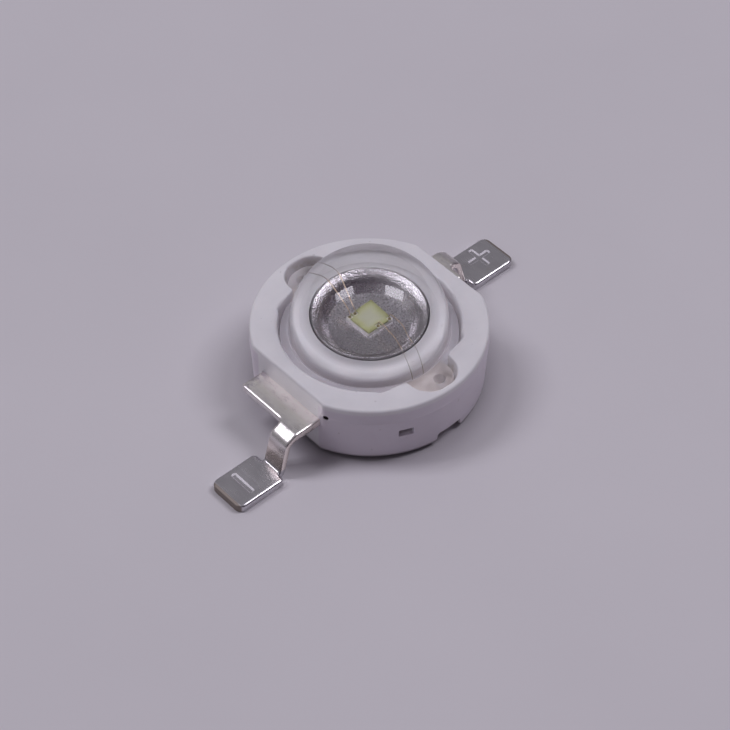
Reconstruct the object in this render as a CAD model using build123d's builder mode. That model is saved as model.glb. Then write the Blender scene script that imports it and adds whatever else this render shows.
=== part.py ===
from build123d import *
import os
from math import cos, radians, sin, sqrt

os.makedirs("parts", exist_ok=True)

# ---------------------------------------------------------------------------
# High power LED emitter, surface mount. All lengths in millimetres.
# Origin: centre of the thermal face of the heat slug. +Z is up, the leads run
# along X, and the anode foot is on +X. The board surface is z = 0.
# ---------------------------------------------------------------------------

# --- housing, a white moulded ring -----------------------------------------
body_r = 4.0            # radius at the parting line, the widest place
body_r_bottom = 3.92    # draft of the lower wall
rim_r = 3.965           # wall above the parting line
body_z0 = 0.17          # the housing stands clear of the board
parting_z = 1.84
body_z1 = 2.47          # top face
flat_x_cathode = 3.58   # the two flats where the leads come out
flat_x_anode = 3.65
top_round = 0.09
opening_r = 3.05
moat_z = 1.75           # floor that carries the lens skirt
ring_r = 1.81           # raised plastic ring round the cup
ring_z = 2.15
ring_chamfer = 0.05
groove_r = 1.66         # narrow groove between the ring and the collar
groove_z = 2.09
collar_r = 1.58         # plastic collar against the reflector cup
collar_z = 2.28
pocket_hx = 0.90        # pockets over the bonding pads, half width along X
pocket_y0 = 2.35        # nearest edge of a pocket to the axis
pocket_y1 = 3.78        # far edge of a pocket
pocket_corner = 0.80
window_angle = -114.4   # small moulded window in the lower wall
window_w = 0.52
window_z0 = 1.08
window_z1 = 1.39
window_depth = 0.40
notch_x0 = -0.50        # relief in the bottom edge
notch_x1 = 0.55
notch_z1 = 0.50
notch_depth = 0.55
pinhole_angle = -152.8
pinhole_z = 1.86
pinhole_r = 0.09

# --- heat slug -----------------------------------------------------------------
slug_base_r = 2.90
slug_base_z1 = 0.75
slug_stem_r = 1.42
slug_chamfer = 0.05
cup_rim_z = 2.39
cup_mouth_r = 1.35
cup_floor_r = 0.80
cup_floor_z = 2.165

# --- chip stack -----------------------------------------------------------------
die_x, die_y = 0.18, 0.19   # the chip sits a little off the axis
die_side = 0.70
attach_side = 0.74
attach_t = 0.015
die_t = 0.07
phosphor_t = 0.03
pad_side = 0.12             # openings in the coating over the bond pads

# --- leads -----------------------------------------------------------------------
lead_t = 0.30
lead_z1 = 1.62              # top of the sheet where it leaves the housing
lead_z0 = lead_z1 - lead_t
bend_r = (0.20, 0.25, 0.22)  # radii of the three bends of the neck, at mid-thickness
neck_angle = (27.0, 75.0)    # slope of the strip after the first and the second bend
neck_run = 0.20              # straight run between the first two bends
foot_x1 = 7.25
foot_y0 = 0.35
foot_corner = 0.30
# (tab end x, tab y from, tab y to, neck y from, neck y to, upper bend x, foot y to),
# as seen on the +X side
cathode_shape = (4.50, -1.30, 1.58, 0.74, 1.58, 4.52, 1.85)
anode_shape = (4.36, 0.05, 1.50, 0.70, 1.50, 4.42, 1.89)
arc_r0, arc_r1 = 1.90, 3.40  # half ring inside the housing
arc_a0, arc_a1 = -25.0, 115.0
mark_depth = 0.06
mark_w = 0.26
minus_x, minus_y, minus_len = -6.48, -1.07, 0.98
plus_x, plus_y, plus_len = 6.36, 1.25, 0.94

# --- lens -----------------------------------------------------------------------
dome_r = 2.70
dome_top = body_z1 + 2.55
dome_cz = dome_top - dome_r
flange_r = 2.98
flange_z1 = 2.15
tab_hx = 0.80
tab_y = 3.66
tab_corner = 0.70
hollow_r = 2.60
hollow_z = 3.60
hollow_foot = 1.90       # the crown of the hollow meets its short straight wall here
fill_x, fill_y, fill_r = 0.18, -3.20, 0.20

# --- bond wires -------------------------------------------------------------------
wire_r = 0.0125
ball_r, ball_h = 0.040, 0.022
stitch_r, stitch_h = 0.045, 0.012
# start on the chip (x, y), points along the loop (x, y, z), end on the pad (x, y)
wires = {
    "bond_wire_1": ((0.16, -0.11), ((0.16, -0.11, 2.50), (0.02, -1.00, 2.51), (-0.15, -1.60, 2.47), (-0.33, -2.22, 2.26)), (-0.38, -2.46)),
    "bond_wire_2": ((0.48, -0.11), ((0.48, -0.11, 2.49), (0.33, -1.04, 2.51), (0.24, -1.56, 2.48), (0.08, -2.24, 2.23)), (0.04, -2.48)),
    "bond_wire_3": ((0.03, 0.49), ((0.03, 0.49, 2.50), (0.36, 1.34, 2.51), (0.30, 1.70, 2.45), (0.10, 2.24, 2.24)), (0.06, 2.48)),
    "bond_wire_4": ((-0.12, 0.49), ((-0.12, 0.49, 2.49), (0.08, 1.42, 2.51), (0.00, 1.72, 2.45), (-0.20, 2.24, 2.24)), (-0.24, 2.46)),
}

die_z0 = cup_floor_z + attach_t
die_z1 = die_z0 + die_t
phosphor_z1 = die_z1 + phosphor_t

# ---------------------------------------------------------------------------
# Heat slug: base disc, stem and the reflector cup, turned in one piece.
# ---------------------------------------------------------------------------
with BuildPart() as heat_slug:
    with BuildSketch(Plane.XZ) as slug_profile:
        with BuildLine() as slug_line:
            Polyline(
                (0, 0),
                (slug_base_r - slug_chamfer, 0),
                (slug_base_r, slug_chamfer),
                (slug_base_r, slug_base_z1),
                (slug_stem_r, slug_base_z1),
                (slug_stem_r, cup_rim_z - 0.02),
                (slug_stem_r - 0.02, cup_rim_z),
                (cup_mouth_r, cup_rim_z),
                (cup_floor_r, cup_floor_z),
                (0, cup_floor_z),
                (0, 0),
            )
        make_face()
    revolve(axis=Axis.Z)

# ---------------------------------------------------------------------------
# One lead stamping, drawn on the +X side. The other lead is drawn the same way
# and turned half a turn about Z.
# ---------------------------------------------------------------------------
def stamping(tab_x1, tab_y0, tab_y1, neck_y0, neck_y1, bend1_x, foot_y1):
    # middle line of the neck: bend, short run, bend, upright, bend back to level
    g1, g2 = radians(neck_angle[0]), radians(neck_angle[1])
    r1, r2, r3 = bend_r
    fall = r1 * (1 - cos(g1)) + neck_run * sin(g1) + r2 * (cos(g1) - cos(g2)) + r3 * (1 - cos(g2))
    upright = (lead_z1 - lead_t - fall) / sin(g2)
    p0 = (bend1_x, lead_z1 - lead_t / 2)
    p1 = (p0[0] + r1 * sin(g1), p0[1] - r1 * (1 - cos(g1)))
    p2 = (p1[0] + neck_run * cos(g1), p1[1] - neck_run * sin(g1))
    p3 = (p2[0] + r2 * (sin(g2) - sin(g1)), p2[1] - r2 * (cos(g1) - cos(g2)))
    p4 = (p3[0] + upright * cos(g2), p3[1] - upright * sin(g2))
    p5 = (p4[0] + r3 * sin(g2), lead_t / 2)
    bend2_x = p5[0]

    def off(p, g, w):
        return (p[0] + w * sin(g), p[1] + w * cos(g))

    def mid(p, ga, gb, r, way, w):
        # halfway point of a bend that starts at p with slope ga and ends with slope gb
        gm = (ga + gb) / 2
        q = (p[0] + way * r * (sin(gm) - sin(ga)), p[1] - way * r * (cos(ga) - cos(gm)))
        return off(q, gm, w)

    with BuildPart() as blank:
        # wide tab, start of the neck, and the half ring inside the housing
        with BuildSketch(Plane.XY.offset(lead_z0)) as plate:
            with BuildLine() as ring_line:
                a0 = CenterArc((0, 0), arc_r1, arc_a0, arc_a1 - arc_a0)
                a1 = CenterArc((0, 0), arc_r0, arc_a0, arc_a1 - arc_a0)
                Line(a0 @ 0, a1 @ 0)
                Line(a0 @ 1, a1 @ 1)
            make_face()
        extrude(amount=lead_t)
        with BuildSketch(Plane.XY.offset(lead_z0)) as tab_sketch:
            with BuildLine() as tab_line:
                Polyline(
                    (2.55, tab_y0),
                    (tab_x1, tab_y0),
                    (tab_x1, neck_y0),
                    (bend1_x, neck_y0),
                    (bend1_x, neck_y1),
                    (2.55, neck_y1),
                    (2.55, tab_y0),
                )
            make_face()
            fillet(tab_sketch.vertices().sort_by_distance((tab_x1, tab_y0))[0], radius=0.10)
        extrude(amount=lead_t)
        # neck: upper bend, upright and lower bend
        with BuildSketch(Plane.XZ.offset(-neck_y1)) as neck_sketch:
            with BuildLine() as neck_line:
                h = lead_t / 2
                c1 = ThreePointArc(off(p0, 0, h), mid(p0, 0, g1, r1, 1, h), off(p1, g1, h))
                l1 = Line(c1 @ 1, off(p2, g1, h))
                c2 = ThreePointArc(l1 @ 1, mid(p2, g1, g2, r2, 1, h), off(p3, g2, h))
                l2 = Line(c2 @ 1, off(p4, g2, h))
                c3 = ThreePointArc(l2 @ 1, mid(p4, g2, 0, r3, -1, h), off(p5, 0, h))
                l3 = Line(c3 @ 1, off(p5, 0, -h))
                c4 = ThreePointArc(l3 @ 1, mid(p4, g2, 0, r3, -1, -h), off(p4, g2, -h))
                l4 = Line(c4 @ 1, off(p3, g2, -h))
                c5 = ThreePointArc(l4 @ 1, mid(p2, g1, g2, r2, 1, -h), off(p2, g1, -h))
                l5 = Line(c5 @ 1, off(p1, g1, -h))
                c6 = ThreePointArc(l5 @ 1, mid(p0, 0, g1, r1, 1, -h), off(p0, 0, -h))
                l6 = Line(c6 @ 1, c1 @ 0)
            make_face()
        extrude(amount=neck_y1 - neck_y0)
        # foot
        with BuildSketch() as foot_sketch:
            with BuildLine() as foot_line:
                Polyline(
                    (bend2_x, foot_y0),
                    (foot_x1, foot_y0),
                    (foot_x1, foot_y1),
                    (bend2_x, foot_y1),
                    (bend2_x, foot_y0),
                )
            make_face()
            fillet(foot_sketch.vertices(), radius=foot_corner * 0.8)
        extrude(amount=lead_t)
        # rolled-over upper edge of the foot, left by the blanking die
        foot_rim = (
            blank.faces()
            .filter_by(Axis.Z)
            .filter_by(lambda f: f.center().X > 5.5 and abs(f.center().Z - lead_t) < 1e-4)
            .edges()
            .filter_by(lambda e: e.center().X > bend2_x + 0.02)
        )
        fillet(foot_rim, radius=0.05)
    return blank.part


with BuildPart() as anode_lead:
    add(stamping(*anode_shape))
    # stamped plus mark
    with BuildSketch(Plane.XY.offset(lead_t)) as plus_mark:
        with Locations((plus_x, plus_y)):
            Rectangle(plus_len, mark_w)
            Rectangle(mark_w, plus_len)
    extrude(amount=-mark_depth, mode=Mode.SUBTRACT)

with BuildPart() as cathode_lead:
    add(stamping(*cathode_shape), rotation=(0, 0, 180))
    # stamped minus mark
    with BuildSketch(Plane.XY.offset(lead_t)) as minus_mark:
        with Locations((minus_x, minus_y)):
            Rectangle(mark_w, minus_len)
    extrude(amount=-mark_depth, mode=Mode.SUBTRACT)

# ---------------------------------------------------------------------------
# Housing: moulded round the leads, with a stepped bore for the slug.
# ---------------------------------------------------------------------------
with BuildPart() as housing:
    with BuildSketch(Plane.XZ) as ring_profile:
        with BuildLine() as ring_edge:
            Polyline(
                (slug_base_r, body_z0),
                (body_r_bottom - 0.03, body_z0),
                (body_r_bottom, body_z0 + 0.03),
                (body_r, parting_z),
                (rim_r, parting_z + 0.015),
                (rim_r, body_z1),
                (opening_r, body_z1),
                (opening_r, moat_z),
                (ring_r, moat_z),
                (ring_r, ring_z - ring_chamfer),
                (ring_r - ring_chamfer, ring_z),
                (groove_r, ring_z),
                (groove_r, groove_z),
                (collar_r, groove_z),
                (collar_r, collar_z - 0.03),
                (collar_r - 0.03, collar_z),
                (slug_stem_r, collar_z),
                (slug_stem_r, slug_base_z1),
                (slug_base_r, slug_base_z1),
                (slug_base_r, body_z0),
            )
        make_face()
    revolve(axis=Axis.Z)
    # the two flats
    with BuildSketch() as flats:
        with Locations((flat_x_anode + 1, 0), (-flat_x_cathode - 1, 0)):
            Rectangle(2, 10)
    extrude(amount=4, mode=Mode.SUBTRACT)
    # pockets over the two bonding pads
    with BuildSketch(Plane.XY.offset(lead_z1)) as pockets:
        with Locations((0, (pocket_y0 + pocket_y1) / 2), (0, -(pocket_y0 + pocket_y1) / 2)):
            Rectangle(2 * pocket_hx, pocket_y1 - pocket_y0)
        fillet(
            pockets.vertices().filter_by(lambda v: abs(v.Y) > 3),
            radius=pocket_corner,
        )
    extrude(amount=2, mode=Mode.SUBTRACT)
    # soft outer edge of the top face
    top_outer = (
        housing.faces()
        .sort_by(Axis.Z)[-1]
        .outer_wire()
        .edges()
    )
    fillet(top_outer, radius=top_round)
    # small moulded windows in the lower wall, half a turn apart
    for turn in (0, 180):
        with BuildSketch(
            Plane(
                origin=Vector(body_r + 0.2, 0, 0).rotate(Axis.Z, window_angle + turn),
                x_dir=Vector(0, 1, 0).rotate(Axis.Z, window_angle + turn),
                z_dir=Vector(-1, 0, 0).rotate(Axis.Z, window_angle + turn),
            )
        ) as window:
            with Locations((0, -(window_z0 + window_z1) / 2)):
                Rectangle(window_w, window_z1 - window_z0)
        extrude(amount=window_depth + 0.25, mode=Mode.SUBTRACT)
        # pin mark beside the lead
        with BuildSketch(
            Plane(
                origin=Vector(body_r + 0.2, 0, 0).rotate(Axis.Z, pinhole_angle + turn),
                x_dir=Vector(0, 1, 0).rotate(Axis.Z, pinhole_angle + turn),
                z_dir=Vector(-1, 0, 0).rotate(Axis.Z, pinhole_angle + turn),
            )
        ) as pin_mark:
            with Locations((0, -pinhole_z)):
                Circle(pinhole_r)
        extrude(amount=0.45, mode=Mode.SUBTRACT)
        # relief in the bottom edge
        with BuildSketch(Plane.XY.rotated((0, 0, turn))) as relief:
            with Locations(((notch_x0 + notch_x1) / 2, -(body_r + 0.2 - (notch_depth + 0.3) / 2))):
                Rectangle(notch_x1 - notch_x0, notch_depth + 0.3)
        extrude(amount=notch_z1, mode=Mode.SUBTRACT)
    add(cathode_lead.part, mode=Mode.SUBTRACT)
    add(anode_lead.part, mode=Mode.SUBTRACT)

# ---------------------------------------------------------------------------
# Chip stack
# ---------------------------------------------------------------------------
with BuildPart() as die_attach:
    with BuildSketch(Plane.XY.offset(cup_floor_z)) as attach_sketch:
        with Locations((die_x, die_y)):
            RectangleRounded(attach_side, attach_side, 0.05)
    extrude(amount=attach_t)

with BuildPart() as led_die:
    with BuildSketch(Plane.XY.offset(die_z0)) as die_sketch:
        with Locations((die_x, die_y)):
            Rectangle(die_side, die_side)
    extrude(amount=die_t)

with BuildPart() as phosphor_layer:
    with BuildSketch(Plane.XY.offset(die_z1)) as coat_sketch:
        with Locations((die_x, die_y)):
            Rectangle(die_side, die_side)
        for start, loop, end in wires.values():
            with Locations(start):
                Rectangle(pad_side, pad_side, mode=Mode.SUBTRACT)
    extrude(amount=phosphor_t)

# ---------------------------------------------------------------------------
# Gold bond wires: ball on the chip, loop over the cup rim, stitch on the pad
# ---------------------------------------------------------------------------
wire_parts = {}
for wire_name, (start, loop, end) in wires.items():
    sx, sy = start
    ex, ey = end
    with BuildPart() as bond_wire:
        with BuildLine() as wire_path:
            FilletPolyline(
                (sx, sy, die_z1 + ball_h / 2),
                *loop,
                (ex, ey, lead_z1 + 0.16),
                (ex, ey, lead_z1 + stitch_h / 2),
                radius=0.08,
            )
        with BuildSketch(Plane.XY.offset(die_z1 + ball_h / 2)) as wire_section:
            with Locations((sx, sy)):
                Circle(wire_r)
        sweep()
        with BuildSketch(Plane.XY.offset(die_z1)) as ball:
            with Locations((sx, sy)):
                Circle(ball_r)
        extrude(amount=ball_h)
        with BuildSketch(Plane.XY.offset(lead_z1)) as stitch:
            with Locations((ex, ey)):
                Circle(stitch_r)
        extrude(amount=stitch_h)
    bond_wire.part.label = wire_name
    wire_parts[wire_name] = bond_wire.part

# ---------------------------------------------------------------------------
# Lens: clear dome, flange and two tabs, with a shallow hollow underneath
# ---------------------------------------------------------------------------
hollow_cr = (hollow_r**2 + (hollow_z - hollow_foot) ** 2) / (2 * (hollow_z - hollow_foot))
dome_foot_r = sqrt(dome_r**2 - (flange_z1 - dome_cz) ** 2)
with BuildPart() as lens:
    with BuildSketch(Plane.XZ) as lens_profile:
        with BuildLine() as lens_line:
            o1 = ThreePointArc(
                (dome_foot_r, flange_z1),
                (dome_r * 0.8, dome_cz + dome_r * 0.6),
                (0, dome_top),
            )
            o2 = Line((0, dome_top), (0, hollow_z))
            o3 = ThreePointArc(
                (0, hollow_z),
                (1.4, hollow_z - hollow_cr + sqrt(hollow_cr**2 - 1.4**2)),
                (hollow_r, hollow_foot),
            )
            o7 = Line((hollow_r, hollow_foot), (hollow_r, moat_z))
            o4 = Line((hollow_r, moat_z), (flange_r, moat_z))
            o5 = Line((flange_r, moat_z), (flange_r, flange_z1))
            o6 = Line((flange_r, flange_z1), (dome_foot_r, flange_z1))
        make_face()
    revolve(axis=Axis.Z)
    with BuildSketch(Plane.XY.offset(moat_z)) as lens_tabs:
        with Locations((0, (2.62 + tab_y) / 2), (0, -(2.62 + tab_y) / 2)):
            Rectangle(2 * tab_hx, tab_y - 2.62)
        fillet(
            lens_tabs.vertices().filter_by(lambda v: abs(v.Y) > 3),
            radius=tab_corner,
        )
    extrude(amount=flange_z1 - moat_z)
    with BuildSketch(Plane.XY.offset(moat_z)) as fill_holes:
        with Locations((fill_x, fill_y), (-fill_x, -fill_y)):
            Circle(fill_r)
    extrude(amount=flange_z1 - moat_z, mode=Mode.SUBTRACT)

# ---------------------------------------------------------------------------
# Silicone: fills the hollow of the lens, the cup and the two pockets
# ---------------------------------------------------------------------------
with BuildPart() as silicone_encapsulant:
    with BuildSketch(Plane.XZ) as gel_profile:
        with BuildLine() as gel_line:
            g1 = ThreePointArc(
                (0, hollow_z),
                (1.4, hollow_z - hollow_cr + sqrt(hollow_cr**2 - 1.4**2)),
                (hollow_r, hollow_foot),
            )
            g2 = Line((hollow_r, hollow_foot), (hollow_r, moat_z))
            g3 = Line((hollow_r, moat_z), (0, moat_z))
            g4 = Line((0, moat_z), (0, hollow_z))
        make_face()
    revolve(axis=Axis.Z)
    with BuildSketch(Plane.XY.offset(lead_z1)) as gel_pockets:
        with Locations((0, (pocket_y0 + pocket_y1) / 2), (0, -(pocket_y0 + pocket_y1) / 2)):
            Rectangle(2 * pocket_hx, pocket_y1 - pocket_y0)
        fillet(
            gel_pockets.vertices().filter_by(lambda v: abs(v.Y) > 3),
            radius=pocket_corner,
        )
    extrude(amount=moat_z - lead_z1)
    add(heat_slug.part, mode=Mode.SUBTRACT)
    add(housing.part, mode=Mode.SUBTRACT)
    add(die_attach.part, mode=Mode.SUBTRACT)
    add(led_die.part, mode=Mode.SUBTRACT)
    add(phosphor_layer.part, mode=Mode.SUBTRACT)
    for wire_solid in wire_parts.values():
        add(wire_solid, mode=Mode.SUBTRACT)

# ---------------------------------------------------------------------------
# Labels and files, one STEP per piece
# ---------------------------------------------------------------------------
housing.part.label = "housing"
lens.part.label = "lens"
heat_slug.part.label = "heat_slug"
cathode_lead.part.label = "cathode_lead"
anode_lead.part.label = "anode_lead"
die_attach.part.label = "die_attach"
led_die.part.label = "led_die"
phosphor_layer.part.label = "phosphor_layer"
silicone_encapsulant.part.label = "silicone_encapsulant"

export_step(housing.part, "parts/housing.step")
export_step(lens.part, "parts/lens.step")
export_step(heat_slug.part, "parts/heat_slug.step")
export_step(cathode_lead.part, "parts/cathode_lead.step")
export_step(anode_lead.part, "parts/anode_lead.step")
export_step(die_attach.part, "parts/die_attach.step")
export_step(led_die.part, "parts/led_die.step")
export_step(phosphor_layer.part, "parts/phosphor_layer.step")
export_step(silicone_encapsulant.part, "parts/silicone_encapsulant.step")
for wire_name, wire_solid in wire_parts.items():
    export_step(wire_solid, f"parts/{wire_name}.step")
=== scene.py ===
import math

import bmesh
import bpy
import numpy as np
from mathutils import Matrix, Vector


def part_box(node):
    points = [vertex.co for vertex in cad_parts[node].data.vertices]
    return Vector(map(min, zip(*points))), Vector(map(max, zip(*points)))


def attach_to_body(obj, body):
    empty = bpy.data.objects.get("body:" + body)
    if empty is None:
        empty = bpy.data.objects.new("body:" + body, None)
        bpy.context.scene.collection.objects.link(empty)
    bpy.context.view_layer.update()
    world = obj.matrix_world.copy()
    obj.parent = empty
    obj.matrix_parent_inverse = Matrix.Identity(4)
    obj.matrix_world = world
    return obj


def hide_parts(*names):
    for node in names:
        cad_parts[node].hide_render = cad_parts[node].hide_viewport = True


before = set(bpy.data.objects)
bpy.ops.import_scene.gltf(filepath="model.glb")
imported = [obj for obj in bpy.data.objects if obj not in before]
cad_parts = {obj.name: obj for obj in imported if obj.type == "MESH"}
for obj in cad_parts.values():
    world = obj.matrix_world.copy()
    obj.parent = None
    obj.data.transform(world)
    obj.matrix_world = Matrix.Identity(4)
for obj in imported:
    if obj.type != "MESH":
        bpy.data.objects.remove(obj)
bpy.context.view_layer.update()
scene = bpy.context.scene
MM = 0.001

# ---------------------------------------------------------------------------
# Sizes, in millimetres, as in the CAD. Heights that the frame knows are read
# from it, so the pieces land where the CAD nodes are.
# ---------------------------------------------------------------------------


def node_box(name):
    lo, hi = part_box(name)
    return np.array(lo) / MM, np.array(hi) / MM


h_lo, h_hi = node_box("housing")
l_lo, l_hi = node_box("lens")
s_lo, s_hi = node_box("heat_slug")
a_lo, a_hi = node_box("anode_lead")
d_lo, d_hi = node_box("led_die")
t_lo, t_hi = node_box("die_attach")
p_lo, p_hi = node_box("phosphor_layer")

BODY_R = h_hi[1]            # at the parting line
BODY_RB = BODY_R - 0.08
RIM_R = BODY_R - 0.016
BODY_Z0 = h_lo[2]
BODY_Z1 = h_hi[2]
PARTING_Z = 1.84
FLAT_P, FLAT_N = h_hi[0], -h_lo[0]
OPEN_R = 3.05
MOAT_Z = l_lo[2]
RING_R = 1.87
CUP_OFF = (0.052, 0.058)     # the mouth of the cup is a little off the axis
POCKET_HX, POCKET_Y0, POCKET_Y1, POCKET_C = 0.90, 2.35, 3.78, 0.80
LEAD_T = 0.30
LEAD_Z1 = a_hi[2]
DOME_R = 2.70
DOME_TOP = l_hi[2]
DOME_CZ = DOME_TOP - DOME_R
FLANGE_R = l_hi[0]
FLANGE_Z1 = 2.15
CUP_RIM = s_hi[2]


# ---------------------------------------------------------------------------
# Mesh helpers. Everything is worked out in millimetres.
# ---------------------------------------------------------------------------
def unit(v):
    v = np.asarray(v, float)
    return v / max(1e-12, np.linalg.norm(v))


def new_object(name, verts, faces, fmat=None):
    me = bpy.data.meshes.new(name)
    me.from_pydata([tuple(float(c) * MM for c in v) for v in verts], [], faces)
    if fmat is not None:
        me.polygons.foreach_set("material_index", fmat)
    me.update()
    ob = bpy.data.objects.new(name, me)
    scene.collection.objects.link(ob)
    return ob


def tidy(ob, dist=2e-8, angle=32.0):
    """Welds, drops degenerate faces, points normals outward and shades smooth with sharp creases."""
    bm = bmesh.new()
    bm.from_mesh(ob.data)
    bmesh.ops.remove_doubles(bm, verts=bm.verts, dist=dist)
    bmesh.ops.dissolve_degenerate(bm, edges=bm.edges, dist=dist / 4)
    loose = [v for v in bm.verts if not v.link_faces]
    bmesh.ops.delete(bm, geom=loose, context="VERTS")
    bmesh.ops.recalc_face_normals(bm, faces=bm.faces)
    if bm.calc_volume(signed=True) < 0:
        bmesh.ops.reverse_faces(bm, faces=bm.faces)
    bad = sum(1 for e in bm.edges if not e.is_manifold)
    bm.to_mesh(ob.data)
    tris = sum(len(f.verts) - 2 for f in bm.faces)
    bm.free()
    ob.data.polygons.foreach_set("use_smooth", [True] * len(ob.data.polygons))
    ob.data.set_sharp_from_angle(angle=math.radians(angle))
    ob.data.update()
    print("MESH", ob.name, "tris", tris, "open edges", bad)
    return ob


def skin(rings, closed=False):
    """Quads between rings of equal count; a ring of one point is a pole."""
    verts, starts, faces = [], [], []
    for r in rings:
        starts.append(len(verts))
        verts.extend(np.asarray(r, float).tolist())
    pairs = list(zip(range(len(rings) - 1), range(1, len(rings))))
    if closed:
        pairs.append((len(rings) - 1, 0))
    for i, j in pairs:
        a, b = starts[i], starts[j]
        n, m = len(rings[i]), len(rings[j])
        if n == 1 and m == 1:
            continue
        k = max(n, m)
        for q in range(k):
            w = (q + 1) % k
            if n == 1:
                faces.append((a, b + w, b + q))
            elif m == 1:
                faces.append((a + q, a + w, b))
            else:
                faces.append((a + q, a + w, b + w, b + q))
    return verts, faces


def rounded(points, steps=6):
    """A path of (x, y, radius) corners with each corner rounded by its radius."""
    pts = [np.array(p[:2], float) for p in points]
    out = []
    n = len(pts)
    for i in range(n):
        r = points[i][2] if len(points[i]) > 2 else 0
        if r <= 0 or i in (0, n - 1):
            out.append(pts[i])
            continue
        a, b, c = pts[i - 1], pts[i], pts[i + 1]
        u, v = unit(a - b), unit(c - b)
        half = math.acos(max(-1, min(1, float(u @ v)))) / 2
        t = r / math.tan(half)
        t = min(t, 0.49 * np.linalg.norm(a - b) + 1e-9, 0.49 * np.linalg.norm(c - b) + 1e-9)
        rr = t * math.tan(half)
        o = b + unit(u + v) * rr / math.sin(half)
        p0, p1 = b + u * t, b + v * t
        a0 = math.atan2(*(p0 - o)[::-1])
        a1 = math.atan2(*(p1 - o)[::-1])
        d = (a1 - a0 + math.pi) % (2 * math.pi) - math.pi
        for k in range(steps + 1):
            g = a0 + d * k / steps
            out.append(o + rr * np.array([math.cos(g), math.sin(g)]))
    return out


def closed_rounded(points, steps=6, gap=None):
    """A closed outline of (x, y, radius) corners."""
    n = len(points)
    ext = [points[-1]] + list(points) + [points[0]]
    path = rounded(ext, steps)[1:-1]
    if gap:
        path = densify(path, gap)
    return path


def densify(path, gap):
    out = []
    for i, p in enumerate(path):
        q = path[(i + 1) % len(path)]
        d = float(np.linalg.norm(np.asarray(q) - p))
        k = max(1, int(math.ceil(d / gap)))
        for s in range(k):
            out.append(np.asarray(p) * (1 - s / k) + np.asarray(q) * (s / k))
    return out


def offset_loop(path, d):
    """Moves a closed 2-D outline inward by d (for an anticlockwise outline)."""
    p = np.array(path, float)
    t = np.roll(p, -1, 0) - np.roll(p, 1, 0)
    t /= np.maximum(1e-12, np.linalg.norm(t, axis=1))[:, None]
    nrm = np.stack([-t[:, 1], t[:, 0]], 1)
    return p + nrm * d


def ccw(path):
    p = np.array(path, float)
    q = np.roll(p, -1, 0)
    area = float((p[:, 0] * q[:, 1] - q[:, 0] * p[:, 1]).sum())
    return list(path) if area > 0 else list(path)[::-1]


def at_z(path, z):
    return np.array([[p[0], p[1], z] for p in path])


def smooth_loop(p, sigma):
    """Evenly resampled closed outline, blurred along its length."""
    p = np.asarray(p, float)
    q = np.vstack([p, p[:1]])
    s = np.concatenate([[0], np.cumsum(np.linalg.norm(np.diff(q, axis=0), axis=1))])
    m = 6000
    u = np.linspace(0, s[-1], m, endpoint=False)
    e = np.stack([np.interp(u, s, q[:, 0]), np.interp(u, s, q[:, 1])], 1)
    k = max(1, int(round(4 * sigma / (s[-1] / m))))
    x = np.arange(-k, k + 1)
    w = np.exp(-0.5 * (x * (s[-1] / m) / sigma) ** 2)
    w /= w.sum()
    out = np.zeros_like(e)
    for xi, wi in zip(x, w):
        out += wi * np.roll(e, xi, 0)
    return out


def by_angle(loop, phis):
    """Points of a star-shaped outline at the given angles, and its outward normals there."""
    a = np.unwrap(np.arctan2(loop[:, 1], loop[:, 0]))
    if a[-1] < a[0]:
        loop, a = loop[::-1], a[::-1]
    t = np.roll(loop, -1, 0) - np.roll(loop, 1, 0)
    nrm = np.stack([t[:, 1], -t[:, 0]], 1)
    nrm /= np.linalg.norm(nrm, axis=1)[:, None]
    a3 = np.concatenate([a - 2 * math.pi, a, a + 2 * math.pi])
    l3, n3 = np.vstack([loop] * 3), np.vstack([nrm] * 3)
    keep = np.concatenate([[True], np.diff(np.maximum.accumulate(a3)) > 0])
    a3, l3, n3 = a3[keep], l3[keep], n3[keep]
    ph = (np.asarray(phis) - a[0]) % (2 * math.pi) + a[0]
    pt = np.stack([np.interp(ph, a3, l3[:, k]) for k in (0, 1)], 1)
    nn = np.stack([np.interp(ph, a3, n3[:, k]) for k in (0, 1)], 1)
    return pt, nn / np.linalg.norm(nn, axis=1)[:, None]


def rect_radius(phi, hx, hy, rc):
    """Distance from the centre to the edge of a rounded rectangle, by angle."""
    pts = []
    for sx, sy, a0 in ((1, 1, 0), (-1, 1, 90), (-1, -1, 180), (1, -1, 270)):
        for k in range(25):
            g = math.radians(a0 + 90 * k / 24)
            pts.append((sx * (hx - rc) + rc * math.cos(g), sy * (hy - rc) + rc * math.sin(g)))
    pts = np.array(densify([np.array(p) for p in pts], 0.02))
    a = np.unwrap(np.arctan2(pts[:, 1], pts[:, 0]))
    r = np.hypot(pts[:, 0], pts[:, 1])
    a3 = np.concatenate([a - 2 * math.pi, a, a + 2 * math.pi])
    r3 = np.concatenate([r, r, r])
    return np.interp((phi - a[0]) % (2 * math.pi) + a[0], a3, r3)


def soft_min(a, b, k):
    m = np.minimum(a, b)
    return m - k * np.log(np.exp(-(a - m) / k) + np.exp(-(b - m) / k))


def cut(ob, cutter, op="DIFFERENCE"):
    m = ob.modifiers.new("cut", "BOOLEAN")
    m.operation = op
    m.solver = "EXACT"
    m.object = cutter
    bpy.context.view_layer.update()
    dg = bpy.context.evaluated_depsgraph_get()
    me = bpy.data.meshes.new_from_object(ob.evaluated_get(dg), depsgraph=dg)
    ob.modifiers.clear()
    old = ob.data
    ob.data = me
    me.name = old.name
    bpy.data.meshes.remove(old)
    bpy.data.objects.remove(cutter, do_unlink=True)
    return ob


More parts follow.
